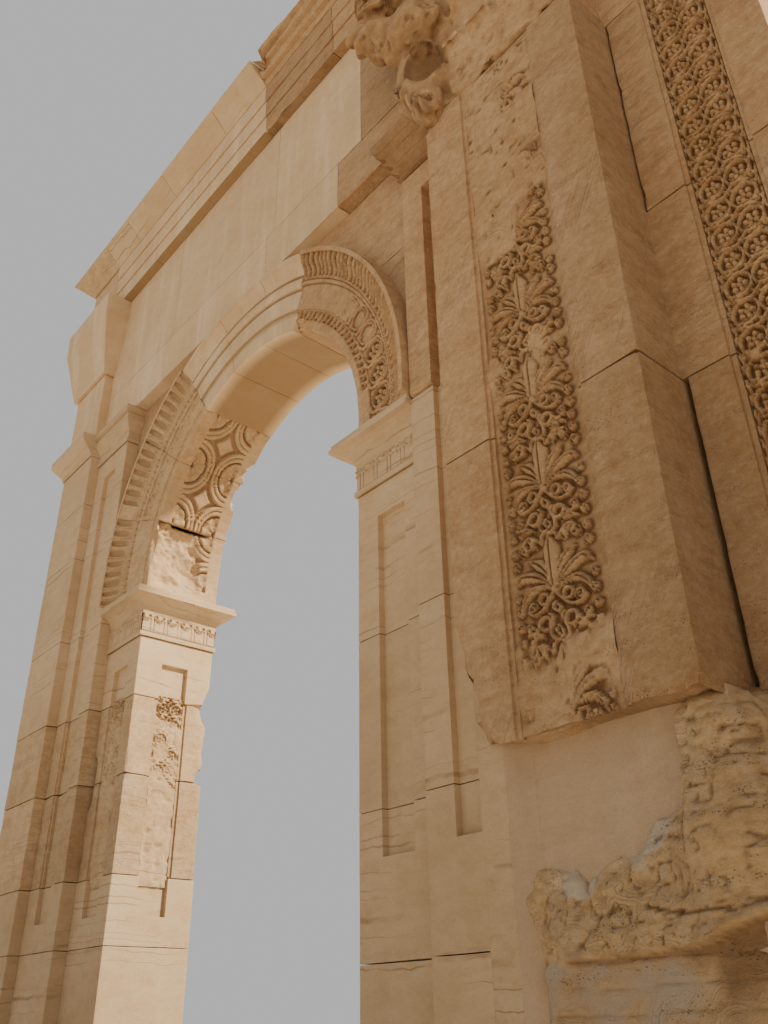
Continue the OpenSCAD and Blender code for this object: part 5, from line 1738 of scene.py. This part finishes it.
def worn_jamb_carving():
    """What is left of the vine in the sunk panels of the left outer jamb."""
    x, y = spans("left_outer_jamb")[:2]
    for name, face, across, level, step in (
            ("", FRONT, x, y[0] + PANEL_DEPTH - STRIP_LIFT, 0.011),
            ("_inside", PLUS_X, y, x[1] - PANEL_DEPTH + STRIP_LIFT, 0.010)):
        relief(f"left_outer_jamb_vine{name}", face, centred(across, SIDE_PANEL_W), level, WORN_VINE_Z,
               WORN_VINE_H, worn_vine, step, slot="pale_old_stone")


# Camera, floor and light
SUN, SUN_SIZE, SUN_COLOUR, SUN_WAY = 7.6, math.radians(3), (1.0, 0.92, 0.78), (-0.80, -0.50, -0.70)
STUDIO, STUDIO_COLOUR = 0.60, (0.92, 0.92, 0.93, 1.0)
FLOOR_HALF, FLOOR_COLOUR, FLOOR_ROUGHNESS = 60.0, (0.80, 0.72, 0.60, 1.0), 0.9


def camera():
    """The photograph's view."""
    ahead = np.array([math.sin(YAW) * math.cos(PITCH), math.cos(YAW) * math.cos(PITCH), math.sin(PITCH)])
    level = np.array([math.cos(YAW), -math.sin(YAW), 0.0])
    down = np.cross(ahead, level)
    right = math.cos(ROLL) * level + math.sin(ROLL) * down
    down = -math.sin(ROLL) * level + math.cos(ROLL) * down
    data = bpy.data.cameras.new("camera")
    data.sensor_width, data.lens = SENSOR, FOCAL_PX / LONG_SIDE_PX * SENSOR
    data.clip_start, data.clip_end = 0.05, 500
    eye = linked("camera", data)
    eye.matrix_world = Matrix([[right[i], -down[i], -ahead[i], EYE[i]] for i in range(3)] + [[0, 0, 0, 1]])
    bpy.context.scene.camera = eye


def floor():
    """A plain pale floor."""
    half = FLOOR_HALF
    mesh = bpy.data.meshes.new("floor")
    mesh.from_pydata([(-half, -half, 0), (half, -half, 0), (half, half, 0), (-half, half, 0)], [],
                     [(0, 1, 2, 3)])
    plain = bpy.data.materials.new("floor")
    plain.use_nodes = True
    plain.node_tree.nodes["Principled BSDF"].inputs["Base Color"].default_value = FLOOR_COLOUR
    plain.node_tree.nodes["Principled BSDF"].inputs["Roughness"].default_value = FLOOR_ROUGHNESS
    mesh.materials.append(plain)
    linked("floor", mesh)


def lights():
    """A soft sun from the right and behind, and pale light from all round."""
    data = bpy.data.lights.new("key", "SUN")
    data.energy, data.angle, data.color = SUN, SUN_SIZE, SUN_COLOUR
    linked("key", data).rotation_euler = Vector(SUN_WAY).to_track_quat("-Z", "Y").to_euler()
    world = bpy.data.worlds.new("studio")
    world.use_nodes = True
    background = world.node_tree.nodes["Background"]
    background.inputs[0].default_value, background.inputs[1].default_value = STUDIO_COLOUR, STUDIO
    bpy.context.scene.world = world


camera()
floor()
lights()

for side, label, step in ((-1, "left", NEAR_STEP), (1, "right", FAR_STEP)):
    for build in (side_pillars, side_capitals, upper_wall, entablature):
        build(side, label, step)
    side_arch(side, label)
    spandrels(side, label, step)
    giant_pilaster(side, label, step)
    giant_capital(side, label)
    central_jamb(side, label, step)
worn_jamb_carving()
eroded_foot()
central_imposts(FAR_STEP)
central_arch()
attic(FAR_STEP)
plinths(FAR_STEP)
